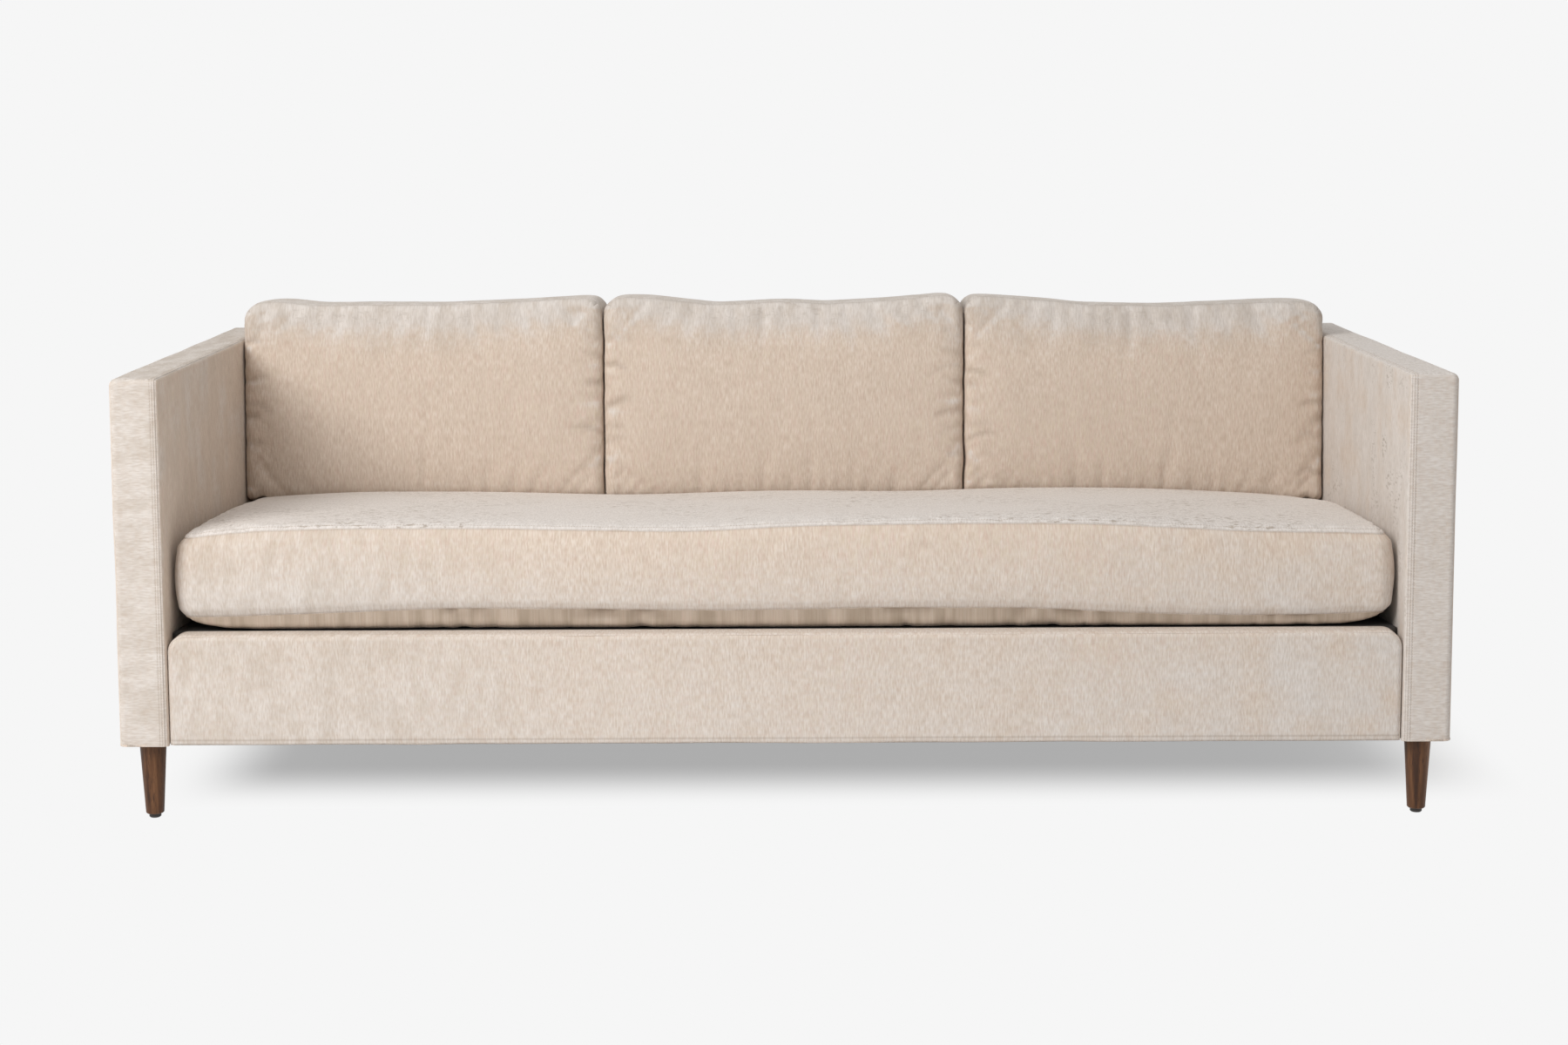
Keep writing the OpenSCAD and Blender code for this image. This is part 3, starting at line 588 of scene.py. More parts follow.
def inflate(name, lattice, points, held, settings):
    # Blender's cloth, blown up from inside with its seams held and no gravity: where the points come to rest
    bare = makePiece(name, points, lattice["quads"], cloth)
    group = bare.vertex_groups.new(name="seams")
    group.add(np.flatnonzero(held).tolist(), 1.0, "REPLACE")
    modifier = bare.modifiers.new("cloth", "CLOTH")
    stiff = settings["stiff"]
    rules = dict(quality=6, mass=0.25, tension_stiffness=stiff, compression_stiffness=stiff,
                 shear_stiffness=stiff / 3, bending_stiffness=settings["bend"], shrink_min=-settings["spare"],
                 use_pressure=True, uniform_pressure_force=settings["pressure"], vertex_group_mass="seams",
                 air_damping=2.0)
    for rule, value in rules.items():
        setattr(modifier.settings, rule, value)
    modifier.settings.effector_weights.gravity = 0
    modifier.collision_settings.use_collision = False
    modifier.point_cache.frame_start = 1
    modifier.point_cache.frame_end = filling["frames"]
    scene = bpy.context.scene
    for step in range(1, filling["frames"] + 1):
        scene.frame_set(step)
    shown = bare.evaluated_get(bpy.context.evaluated_depsgraph_get())
    rest = np.zeros(len(points) * 3, np.float32)
    shown.data.vertices.foreach_get("co", rest)
    scene.frame_set(1)
    bpy.data.objects.remove(bare, do_unlink=True)
    return rest.reshape(-1, 3).astype(float)


def softCap(value, cap):
    # grows like the value at first and never passes the cap: cap * tanh(value / cap)
    return cap * np.tanh(value / cap)


def boxedCushion(name, make):
    # A boxed cushion, from its seams outwards: a lattice of two panels and the boxing between them, with the
    # plan's corners rounded. Cloth under pressure crowns the panels and bows the boxing; the crowns in make
    # cap the one, and the other is brought to the bow in make. A finer lattice then takes that shape.
    # Its own axes: a across, b along the panels, c from the low panel to the high one.
    halfA = make["a"] / 2 - make["bow"][0]
    halfB = make["b"] / 2 - make["bow"][1]
    low, high = make["seams"]

    def skin(step, fine, border):
        # a lattice, its points with the corners rounded, its two panels, and the way in from the sides
        lattice = boxLattice([unevenLine(*ends, step, fine, border)
                              for ends in ((-halfA, halfA), (-halfB, halfB), (low, high))])
        shaped = lattice["points"].copy()
        corner = np.where(shaped[:, 1] < 0, make["corners"][0], make["corners"][1])
        shaped[:, 0], shaped[:, 1] = roundPlan(shaped[:, 0], shaped[:, 1], halfA, halfB, corner)
        onLow = lattice["numbers"][:, 2] == 0
        onHigh = lattice["numbers"][:, 2] == lattice["counts"][2]
        inA = halfA - np.abs(lattice["points"][:, 0])
        inB = halfB - np.abs(lattice["points"][:, 1])
        return lattice, shaped, onLow, onHigh, inA, inB

    coarse, start, onLow, onHigh, inA, inB = skin(make["cell"], make["cell"], 0)
    edge = np.minimum(inA, inB)
    seam = (onLow | onHigh) & (edge < 1e-6)

    # the filled shape before it is blown up: each panel rises by its crown times 1 - exp(-edge / 18 mm), and
    # the boxing bows by a half circle's sqrt(4 l (1 - l)) between its seams
    away = pointNormals(start, coarse["quads"])
    rise = np.where(onHigh, make["crowns"][1], np.where(onLow, make["crowns"][0], 0.0))
    swell = rise * (1 - np.exp(-edge / filling["rise"]))
    level = np.clip((start[:, 2] - low) / (high - low), 0, 1)
    bowed = np.sqrt(4 * level * (1 - level)) * np.where(onLow | onHigh, 0.0, 1.0)
    full = np.stack([away[:, 0] * bowed * make["bow"][0], away[:, 1] * bowed * make["bow"][1],
                     np.where(onHigh, swell, -swell)], -1)
    noise = softNoise(start[:, 0] + start[:, 2], start[:, 1] + start[:, 2], filling["unevenSize"],
                      make["seed"])
    rough = start + filling["start"] * full + away * (filling["uneven"] * noise)[:, None]
    rough[seam] = start[seam]
    moved = inflate(name + "_blown", coarse, rough, seam, make["cloth"]) - start
    print(name, "blown:", np.round(moved.min(0), 4), np.round(moved.max(0), 4))
    for k in (0, 1):
        moved[:, k] = softCap(moved[:, k], filling["cap"] * np.abs(moved[:, k]).max())
        moved[:, k] *= make["bow"][k] / np.abs(moved[:, k]).max()
        # the filling pushes the stiff corners out as far as the sides
        short = np.abs(moved[:, k]) < filling["least"] * np.abs(full[:, k])
        moved[short, k] = filling["least"] * full[short, k]
    moved[:, 2] = np.where(moved[:, 2] > 0, softCap(moved[:, 2], make["crowns"][1]),
                           softCap(moved[:, 2], make["crowns"][0]))

    lattice, points, onLow, onHigh, inA, inB = skin(make["step"], filling["fine"], filling["border"])
    points = points + sampleSkin(coarse, moved, lattice)
    flat = lattice["points"]
    panel = onLow | onHigh
    toHigh = high - flat[:, 2]
    toLow = flat[:, 2] - low
    along = np.where(inA < inB, flat[:, 1], flat[:, 0])
    gap = np.where(panel, np.minimum(inA, inB), np.minimum(toHigh, toLow))
    return dict(lattice=lattice, points=points, flat=flat, onLow=onLow, onHigh=onHigh, panel=panel, inA=inA,
                inB=inB, gap=gap, along=along, toHigh=toHigh, toLow=toLow, halfB=halfB, make=make)


def creaseLines(x, y, creases):
    # short folds: each dips by a bell across its line, with a lower ridge on each side, and fades at its
    # ends; the line itself bends as a parabola of 12 per metre at its middle
    height = np.zeros_like(x)
    for atX, atY, turn, long, deep, wide in creases:
        run = (x - atX) * math.cos(turn) + (y - atY) * math.sin(turn)
        across = (y - atY) * math.cos(turn) - (x - atX) * math.sin(turn) + 6 * run ** 2
        fade = np.exp(-(run / (long / 2)) ** 4)
        ridge = bell(across, 1.9 * wide, wide) + bell(across, -1.9 * wide, wide)
        height += deep * fade * (0.08 * ridge - bell(across, 0, wide))
    return height


# Rows beside a seam as (height, distance from it, width), with darkness for height in the two shades; how far
# in the cloth still gathers, creases and puckers; and the sizes of that unevenness. Lengths are in metres.
sewing = dict(
    roll=(0.0003, 0.0036, 0.0028), groove=(-0.0009, 0.0078, 0.0011), lip=(0.0005, 0.0045, 0.0030),
    dip=(-0.0012, 0.0008, 0.0013), grooveShade=(0.18, 0.0078, 0.0010), seamShade=(0.34, 0.0004, 0.0010),
    gatherSize=0.017, gatherReach=0.016, creaseSize=0.041, creaseStart=0.012, plump=0.010, bunchSize=0.12,
    puckerSize=0.017, puckerReach=0.03, waveSize=0.16, waveStart=0.05,
)


def sewnDetail(cushion):
    # Height over the cloth and its painted shade, by the distance from the seam. A panel has a rolled edge
    # and, where it is topstitched, a groove; the high one also a plump shoulder of (gap / 10 mm) times
    # exp(1 - gap / 10 mm). The boxing dips at the seam itself. Gathers run in from the seams and die away,
    # deepest on the low panel.
    make = cushion["make"]
    panel = cushion["panel"]
    onHigh = cushion["onHigh"]
    gap = cushion["gap"]
    along = cushion["along"]
    seed = make["seed"]
    sewn = make["topstitch"]
    roll = bellRow(gap, *sewing["roll"]) + sewn * bellRow(gap, *sewing["groove"])
    dip = bellRow(gap, *sewing["lip"]) + bellRow(gap, *sewing["dip"])
    # each panel and each half of the boxing takes its own row of the noise
    row = np.where(onHigh | (cushion["toHigh"] < cushion["toLow"]), 0.0, 31.0) + np.where(panel, 0.0, 11.0)
    gather = softNoise(along, row + gap * 2, sewing["gatherSize"], seed + 3)
    crease = softNoise(along + gap * 0.35, row, sewing["creaseSize"], seed + 5)
    fade = np.exp(-gap / sewing["gatherReach"])
    fadeLong = np.exp(-gap / make["creaseReach"])
    body = 1 - np.exp(-gap / sewing["creaseStart"])
    height = np.where(panel, roll, dip)
    height = height - make["gather"] * fade * np.maximum(gather, 0)
    height = height - make["crease"] * fadeLong * body * np.maximum(crease - 0.15, 0)
    inward = gap / sewing["plump"]
    height = height + np.where(onHigh, make["shoulder"] * inward * np.exp(1 - inward), 0.0)
    bunched = smoothStep(0.5 + 0.8 * softNoise(along, 0 * along, sewing["bunchSize"], seed + 10))
    level = cushion["points"][:, 2]
    pucker = softNoise(along + 0.5 * level, level, sewing["puckerSize"], seed + 9)
    pucker = np.maximum(pucker + 0.2, 0) * bunched * np.exp(-gap / sewing["puckerReach"])
    pucker = np.where(cushion["onLow"], pucker, 0.0)
    height = height - make["puckers"] * pucker
    flat = cushion["flat"]
    plain = softNoise(flat[:, 0], flat[:, 1] + flat[:, 2], sewing["waveSize"], seed + 7)
    height = height + make["waves"] * plain * (1 - np.exp(-gap / sewing["waveStart"]))
    folds = np.where(onHigh, creaseLines(flat[:, 0], flat[:, 1], make["creases"]), 0.0)
    # painted shade: darker at the seam, in the stitched groove, in the folds and in the puckers
    dark = np.where(panel, sewn * bellRow(gap, *sewing["grooveShade"]), 0.0)
    dark = dark + bellRow(gap, *sewing["seamShade"])
    return height + folds, dark + np.clip(-folds / 0.007, 0, 0.3) + 0.3 * pucker


def thread(path, normals, settings):
    # Stitches along a line of points: each is a small closed tube of four sides, thickest in its middle,
    # whose ends dip into the cloth
    step = np.linalg.norm(np.diff(path, axis=0), axis=1)
    reach = np.concatenate([[0.0], np.cumsum(step)])
    count = int(reach[-1] / settings["pitch"])
    start = (np.arange(count) + 0.5) * settings["pitch"]
    parts = np.array([-0.5, -0.25, 0.25, 0.5]) * settings["length"]
    girth = np.array([0.3, 1.0, 1.0, 0.3]) * settings["radius"]
    rise = np.array([-0.7, 0.3, 0.3, -0.7]) * settings["radius"]
    at = start[:, None] + parts
    middle = np.stack([np.interp(at, reach, path[:, k]) for k in range(3)], -1)
    up = np.stack([np.interp(at, reach, normals[:, k]) for k in range(3)], -1)
    up = up / np.linalg.norm(up, axis=-1, keepdims=True)
    ahead = np.gradient(middle, axis=1)
    ahead = ahead / np.linalg.norm(ahead, axis=-1, keepdims=True)
    sideways = np.cross(ahead, up)
    turn = (np.arange(4) + 0.5) / 4 * 2 * math.pi
    ring = sideways[:, :, None] * np.cos(turn)[:, None] + up[:, :, None] * np.sin(turn)[:, None] * 0.7
    points = (middle + up * rise[:, None])[:, :, None] + ring * girth[:, None, None]
    number = np.arange(count * 16).reshape(count, 4, 4)
    wall = np.stack([number[:, :-1], number[:, 1:], np.roll(number[:, 1:], -1, 2),
                     np.roll(number[:, :-1], -1, 2)], -1).reshape(-1, 4)
    quads = np.concatenate([wall, number[:, 0], number[:, -1][:, ::-1]])
    return points.reshape(-1, 3), quads


def joined(parts):
    # several sets of points and faces as one
    points = np.concatenate([part[0] for part in parts])
    starts = np.cumsum([0] + [len(part[0]) for part in parts[:-1]])
    quads = np.concatenate([part[1] + start for part, start in zip(parts, starts)])
    return points, quads


bpy.context.scene.view_settings.view_transform = "Standard"
cloth = chenilleVelvet()
stitch = threadMaterial()
addCamera()
addWorld()
addLamp("key", studio["key"])
addLamp("top", studio["top"])
addFloor()
finishNodes()
print("studio and materials made")

# the deck falls to the back; a cushion's own frame is turned with it
deck = dict(front=-0.407, height=0.306, fall=math.radians(3.5))


def fromDeck(points):
    # (x, run, rise) in the deck's plane to the room: the plane is turned about X by its fall
    run = points[:, 1]
    rise = points[:, 2]
    fall = deck["fall"]
    return np.stack([points[:, 0], deck["front"] + run * math.cos(fall) + rise * math.sin(fall),
                     deck["height"] - run * math.sin(fall) + rise * math.cos(fall)], -1)


def paleness(points, quads):
    # how far the pile lies over, which also paints light on upward faces: none on upright cloth, whole where
    # the cloth faces up
    up = pointNormals(points, quads)[:, 2]
    return smoothStep((up - 0.02) / 0.42)


stitching = dict(inset=0.0078, pitch=0.0046, length=0.0036, radius=0.00042)


def seamRows(cushion, place):
    # stitches along both seams: on each panel, the ring of lattice points nearest the stitched groove, taken
    # in the order of their angle about the panel's middle
    lattice = cushion["lattice"]
    parts = []
    for onPanel in (cushion["onLow"], cushion["onHigh"]):
        numbers = lattice["numbers"][:, :2]
        counts = lattice["counts"][:2]
        first = np.array([np.argmin(np.abs(line - line[0] - stitching["inset"]))
                          for line in lattice["lines"][:2]])
        last = counts - first
        inside = onPanel & (numbers >= first).all(1) & (numbers <= last).all(1)
        at = np.flatnonzero(inside & ((numbers == first) | (numbers == last)).any(1))
        offset = (numbers[at] - counts / 2) / (counts / 2 - first)
        at = at[np.argsort(np.arctan2(offset[:, 1], offset[:, 0]))]
        at = np.append(at, at[0])
        parts.append(thread(place[at], cushion["normals"][at], stitching))
    return joined(parts)


def sewOn(name, body, rows):
    # the topstitches of one piece, as a piece of their own on the same body
    sewn = makePiece(name, *rows, stitch)
    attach(sewn, body)


def upholster(name, body, points, quads, uv, marks, covered):
    # one padded piece of the chenille, which stands for the CAD's cover and its filling
    piece = makePiece(name, points, quads, cloth, uv, marks)
    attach(piece, body)
    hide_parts(*covered)
    print(name, "made:", len(points), "points")


# The seat cushion. Its seams and its rear top are uneven by the millimetres given at places across it.
seat = dict(
    a=1.968, b=0.7654, seams=(0.0300, 0.1613), bow=(0.017, 0.014), crowns=(0.030, 0.013),
    corners=(0.018, 0.040), cell=0.0125, step=0.0076, middle=0.3647, seed=4, crease=0.0014,
    creaseReach=0.035, waves=0.0012, gather=0.0007, shoulder=0.0026, topstitch=0.6, puckers=0.0040,
    creases=[], sunk=0.014, crest=0.526, underFront=0.0035, underSide=0.035, frontReach=0.26, lift=0.0005,
    halfWidth=0.9845, cloth=dict(stiff=8.0, bend=0.8, spare=0.012, pressure=4.0),
    pale=dict(least=0.12, below=0.45, right=0.10, left=0.22, patches=0.22, top=1.15),
    nap=dict(boxing=0.08, left=0.14, under=0.55),
    frontTop=([-0.983, -0.96, -0.91, -0.835, -0.70, -0.58, -0.47, -0.31, -0.15, -0.06, 0.036, 0.138, 0.276,
               0.485, 0.61, 0.75, 0.83, 0.943, 0.983],
              [-14, -11.3, -3.3, 1.3, 4.3, 3.8, 3.3, -0.3, -3.3, 1.7, 6, 7, 8.5, 7.6, 1.4, -6.3, -8, -9.9,
               -14]),
    frontLow=([-0.983, -0.95, -0.85, -0.70, -0.56, -0.39, -0.24, -0.10, 0.026, 0.1375, 0.416, 0.472, 0.667,
               0.835, 0.932, 0.983],
              [-6, -8.8, -5.7, -1.4, 4.4, 3.6, 0.8, -0.8, 1.0, 2.7, 1.5, -3.7, -11.2, -11.9, -8.5, -6]),
    rearTop=([-0.983, -0.908, -0.796, -0.542, -0.335, -0.256, -0.049, 0.158, 0.33, 0.54, 0.714, 0.889, 0.983],
             [-9, -6, -1.3, -2.3, -8, -8.3, -1.3, -5.3, -1.3, 0.6, -1.3, -11, -20]),
)


def makeSeatCushion():
    cushion = boxedCushion("seat_cushion", seat)
    points = cushion["points"]
    low, high = seat["seams"]
    a = points[:, 0]
    b = points[:, 1]
    level = np.clip((points[:, 2] - low) / (high - low), 0, 1)
    nearFront = np.exp(-(b + cushion["halfB"]) / seat["frontReach"])
    nearRear = smoothStep((b + 0.05) / 0.22)
    topShift, lowShift, rearShift = (smoothCurve(a, *seat[edge]) / 1000
                                     for edge in ("frontTop", "frontLow", "rearTop"))
    points[:, 2] += nearFront * (lowShift * (1 - level) + topShift * level) + nearRear * rearShift * level
    # its weight presses the underside flat: at once behind the front seam, and more slowly from the sides
    steep = 1 - np.exp(-cushion["inB"] / seat["underFront"])
    steep = steep * (1 - np.exp(-cushion["inA"] / seat["underSide"]))
    under = (low + nearFront * lowShift) * (1 - steep) + seat["lift"] * steep
    points[:, 2] = np.where(cushion["onLow"], np.maximum(under, seat["lift"]), points[:, 2])
    # the back cushions sink in behind a low crest
    behind = smoothStep((b + seat["middle"] - seat["crest"]) / 0.018)
    behind = behind * smoothStep((cushion["inA"] - 0.004) / 0.03)
    points[:, 2] -= seat["sunk"] * behind * cushion["onHigh"]
    height, dark = sewnDetail(cushion)
    quads = cushion["lattice"]["quads"]
    points += pointNormals(points, quads) * height[:, None]
    points[:, 2] = np.maximum(points[:, 2], seat["lift"])
    points[:, 0] = np.clip(points[:, 0], -seat["halfWidth"], seat["halfWidth"])
    shaped = points + np.array([0, seat["middle"], 0])
    place = fromDeck(shaped)
    cushion["normals"] = pointNormals(place, quads)
    # the top is crushed and, as painted light, paler where it faces up; the underside takes painted shade;
    # the boxing grows paler downwards and towards its ends, and takes painted shade, deeper at its left end
    toRight = smoothStep((a - 0.25) / 0.6)
    toLeft = smoothStep((-a - 0.35) / 0.4)
    patches = toRight * softNoise(a, points[:, 2], 0.040, seat["seed"] + 30)
    share = seat["pale"]
    front = share["least"] + share["below"] * (1 - level) ** 1.3
    front = front + share["right"] * toRight + share["left"] * toLeft + share["patches"] * patches
    pale = np.where(cushion["panel"], share["top"] * paleness(place, quads), front)
    nap = np.where(cushion["panel"], 0.0, seat["nap"]["boxing"] + seat["nap"]["left"] * toLeft)
    nap = np.where(cushion["onLow"], seat["nap"]["under"], nap)
    uv = clothMap(cushion["lattice"], ((1, 2), (0, 2), (0, 1)))
    upholster("seat_cushion", "seat_cushion", place, quads, uv, dict(pale=pale, seam=dark, nap=nap),
              ["seat_cushion_cover", "seat_cushion_core"])
    sewOn("seat_cushion_stitches", "seat_cushion", seamRows(cushion, place))
    return cushion, shaped


# The back cushions. They share one make, and each has its own place, seed and uneven top in millimetres.
backCushion = dict(
    a=0.6562, b=0.350, pitch=0.658, seams=(0.012, 0.181), bow=(0.0005, 0.004), crowns=(0.012, 0.025),
    corners=(0.009, 0.026), cell=0.0125, step=0.0048, bottom=0.1736, rear=0.7474, crease=0.0026,
    creaseReach=0.030, waves=0.0016, gather=0.0022, shoulder=0.0050, topstitch=0.0, puckers=0.0010,
    wave=0.0016, clear=0.0003, above=0.0007, cloth=dict(stiff=6.0, bend=0.5, spare=0.02, pressure=4.0),
    fold=dict(count=6, rows=(-0.115, 0.085), astray=0.020, long=(0.022, 0.062), deep=(0.0004, 0.0026),
              turn=(-0.45, 0.30), wide=(0.0048, 0.0078)),
)
backCushions = dict(
    left=dict(middle=-0.658, seed=11,
              top=([-0.325, -0.318, -0.298, -0.268, -0.20, -0.09, 0.02, 0.18, 0.30, 0.322],
                   [-12, -8, -2, 0, -8, -7, -8, -2, 5, 0])),
    middle=dict(middle=0.0, seed=23,
                top=([-0.325, -0.30, -0.25, -0.127, 0.0, 0.08, 0.19, 0.30, 0.325],
                     [-2, 5, 4, -10, -4, -9, -3, 7, 0])),
    right=dict(middle=0.658, seed=37,
               top=([-0.325, -0.31, -0.275, -0.18, -0.10, 0.027, 0.14, 0.265, 0.30, 0.318, 0.325],
                    [-2, 4, 3, -4, -12, -15, -12, -8, -9, -12, -16])),
)


def sideCreases(make):
    # short creases that run in from both side seams at uneven heights, as loose cloth over the filling has
    random = np.random.default_rng(make["seed"])
    fold = make["fold"]
    creases = []
    for end in (-1, 1):
        astray = random.uniform(-fold["astray"], fold["astray"], fold["count"])
        for atY in np.linspace(*fold["rows"], fold["count"]) + astray:
            long, deep, turn, wide = (random.uniform(*fold[part])
                                      for part in ("long", "deep", "turn", "wide"))
            atX = end * (make["a"] / 2 - 0.006 - long * 0.4)
            creases.append((atX, atY, turn * end, long, deep, wide))
    return creases


def makeBackCushion(side, seatSkin, seatClear):
    make = dict(backCushion, **backCushions[side])
    make["creases"] = sideCreases(make)
    cushion = boxedCushion("back_cushion_" + side, make)
    points = cushion["points"]
    a = points[:, 0]
    b = points[:, 1]
    topShift = smoothCurve(a, *make["top"]) / 1000
    points[:, 1] = b + topShift * smoothStep((b + 0.02) / 0.19)
    # the pile lies over, and painted light makes the cloth paler, by the cushion's plain form, not by its
    # creases
    quads = cushion["lattice"]["quads"]
    pale = paleness(fromDeck(np.stack([points[:, 0], -points[:, 2], points[:, 1]], -1)), quads)
    height, dark = sewnDetail(cushion)
    points += pointNormals(points, quads) * height[:, None]

    # two neighbours press on one wavy line between them, and each keeps clear of it; the arms are straight
    half = make["pitch"] / 2
    line = np.zeros(len(points))
    for end in (-1, 1):
        seed = int(round((make["middle"] + end * half) * 1000)) + 2000
        wave = make["wave"] * softNoise(points[:, 1], points[:, 1] * 0.3, 0.033, seed)
        inner = abs(make["middle"] + end * half) < 2 * half
        line = np.where(a * end > 0, wave * inner, line)
    nearSide = smoothStep((np.abs(a) - half + 0.06) / 0.05)
    across = np.clip(a + line * nearSide, line - half + make["clear"], line + half - make["clear"])
    shaped = np.stack([across + make["middle"], make["rear"] - points[:, 2],
                       points[:, 1] + make["bottom"] + make["b"] / 2], -1)
    under = seatSkin(shaped[:, 0], shaped[:, 1])
    sink = (under + make["above"] - make["bottom"]) * smoothStep((0.05 - points[:, 1]) / 0.2)
    clear = seatClear(shaped[:, 0], shaped[:, 1])
    shaped[:, 2] = np.maximum(shaped[:, 2] + sink, clear + make["above"])
    place = fromDeck(shaped)
    # a ragged band along the top is paler, and deepened by painted shade
    ragged = softNoise(a, b, 0.07, make["seed"] + 20)
    band = smoothStep((points[:, 1] - 0.060 + 0.03 * ragged) / 0.105)
    uv = clothMap(cushion["lattice"], ((2, 1), (0, 2), (0, 1)), make["seed"])
    body = "back_cushion_" + side
    upholster(body, body, place, quads, uv,
              dict(pale=np.clip(pale, 0.54 * band, 0.86), seam=dark, nap=0.09 + 0.18 * band),
              ["back_cushion_cover_" + side, "back_cushion_core_" + side])


def topOfSeat(cushion, shaped):
    # the seat's upper surface as a height over the deck's plane, read from its top panel's own grid
    on = cushion["onHigh"]
    numbers = cushion["lattice"]["numbers"][on]
    counts = cushion["lattice"]["counts"]
    grid = np.zeros((counts[0] + 1, counts[1] + 1, 1))
    grid[numbers[:, 0], numbers[:, 1], 0] = shaped[on, 2]
    x = cushion["lattice"]["lines"][0]
    run = cushion["lattice"]["lines"][1] + seat["middle"]

    def read(atX, atRun):
        fx = np.interp(atX, x, np.arange(len(x)))
        fy = np.interp(atRun, run, np.arange(len(run)))
        return sampleGrid(grid, fx, fy)[:, 0]
    return read


# a flat net over the seat's rear, and the run and the height beyond which a face of the seat counts
net = dict(cell=0.0025, start=(-1.0, 0.47), size=(801, 125), floor=0.135, beyond=(0.485, 0.06))


def clearOfSeat(cushion, shaped):
    # the least height that clears the seat's finished skin: each of its upper rear faces is sampled at 25
    # places, a cell of the net keeps the highest, and a cell is then read as the highest of the 25 around it
    corner = shaped[cushion["lattice"]["quads"]]
    middle = corner.mean(1)
    corner = corner[(middle[:, 1] > net["beyond"][0]) & (middle[:, 2] > net["beyond"][1])]
    s, t = (part.ravel() for part in np.meshgrid(np.linspace(0, 1, 5), np.linspace(0, 1, 5)))
    share = np.stack([(1 - s) * (1 - t), s * (1 - t), s * t, (1 - s) * t])
    samples = np.einsum("fkc,kp->fpc", corner, share).reshape(-1, 3)
    highest = np.full(net["size"], net["floor"])
    at = np.rint((samples[:, :2] - net["start"]) / net["cell"]).astype(int)
    np.maximum.at(highest, (at[:, 0], at[:, 1]), samples[:, 2])
    around = [np.roll(highest, (i, j), (0, 1)) for i in range(-2, 3) for j in range(-2, 3)]
    highest = np.max(around, 0)

    def read(atX, atRun):
        cell = np.rint((np.stack([atX, atRun], -1) - net["start"]) / net["cell"]).astype(int)
        cell = np.clip(cell, 0, np.array(net["size"]) - 1)
        return highest[cell[:, 0], cell[:, 1]]
    return read


cushion, shaped = makeSeatCushion()
seatSkin = topOfSeat(cushion, shaped)
seatClear = clearOfSeat(cushion, shaped)
for side in backCushions:
    makeBackCushion(side, seatSkin, seatClear)


# The arms. A seam lies so far from the inner edge, and so do the two rows of stitches beside it. Some of
# these values paint light and shade: how pale each face is, how deep its pile looks, and how dark the seam
# is.
arm = dict(
    low=(0.987, -0.450, 0.127), high=(1.067, 0.450, 0.720), innerEdge=0.0070, outerEdge=0.0125,
    steps=(0.0035, 0.011, 0.011), fine=0.0009, border=0.0153, seam=0.0045, rows=(0.0092, 0.0131),
    wrap=0.009, raised=0.1302, soft=0.0006, gather=0.0004, seeds=(51, 67),
    crushedAndLit=dict(front=0.70, top=0.90, left=0.15, right=0.78), mottle=0.34, upper=0.10,
    standingShade=dict(frontLeft=0.23, frontRight=0.09, topLeft=0.38, topRight=0.0, left=0.16, right=0.16),
    seamShade=dict(left=0.45, right=0.16),
)
# where the arms' inner faces begin to turn away from the back, over how long a stretch, and how far
turning = dict(run=0.405, rise=0.66, soft=0.045, far=0.010)


def turnedAway(run, rise):
    # how far an arm's inner face has turned away from the back, at its upper rear corner
    return (turning["far"] * smoothStep((run - turning["run"]) / turning["soft"])
            * smoothStep((rise - turning["rise"]) / turning["soft"]))


def roundedBox(points, low, high, radius, below=1.0):
    # a box's edges made round: each point is pushed from the nearest point of the inner box, out to the
    # radius; with below at 0 the edges at its foot stay sharp
    inner = np.clip(points, low + radius[:, None] * np.array([1, 1, below]), high - radius[:, None])
    away = points - inner
    length = np.maximum(np.linalg.norm(away, axis=1, keepdims=True), 1e-9)
    return inner + away / length * radius[:, None]


def openBelow(points, lattice, settings, reach):
    # further in from its hem than the wrap, the underside steps up over the dust cloth and the leg plates,
    # and the wall's lowest rows close up above it
    inside = reach > settings["wrap"]
    closed = settings["raised"] + 0.1 * (points[:, 2] - lattice["lines"][2][0])
    points[inside, 2] = np.maximum(points[inside, 2], closed[inside])
    return points


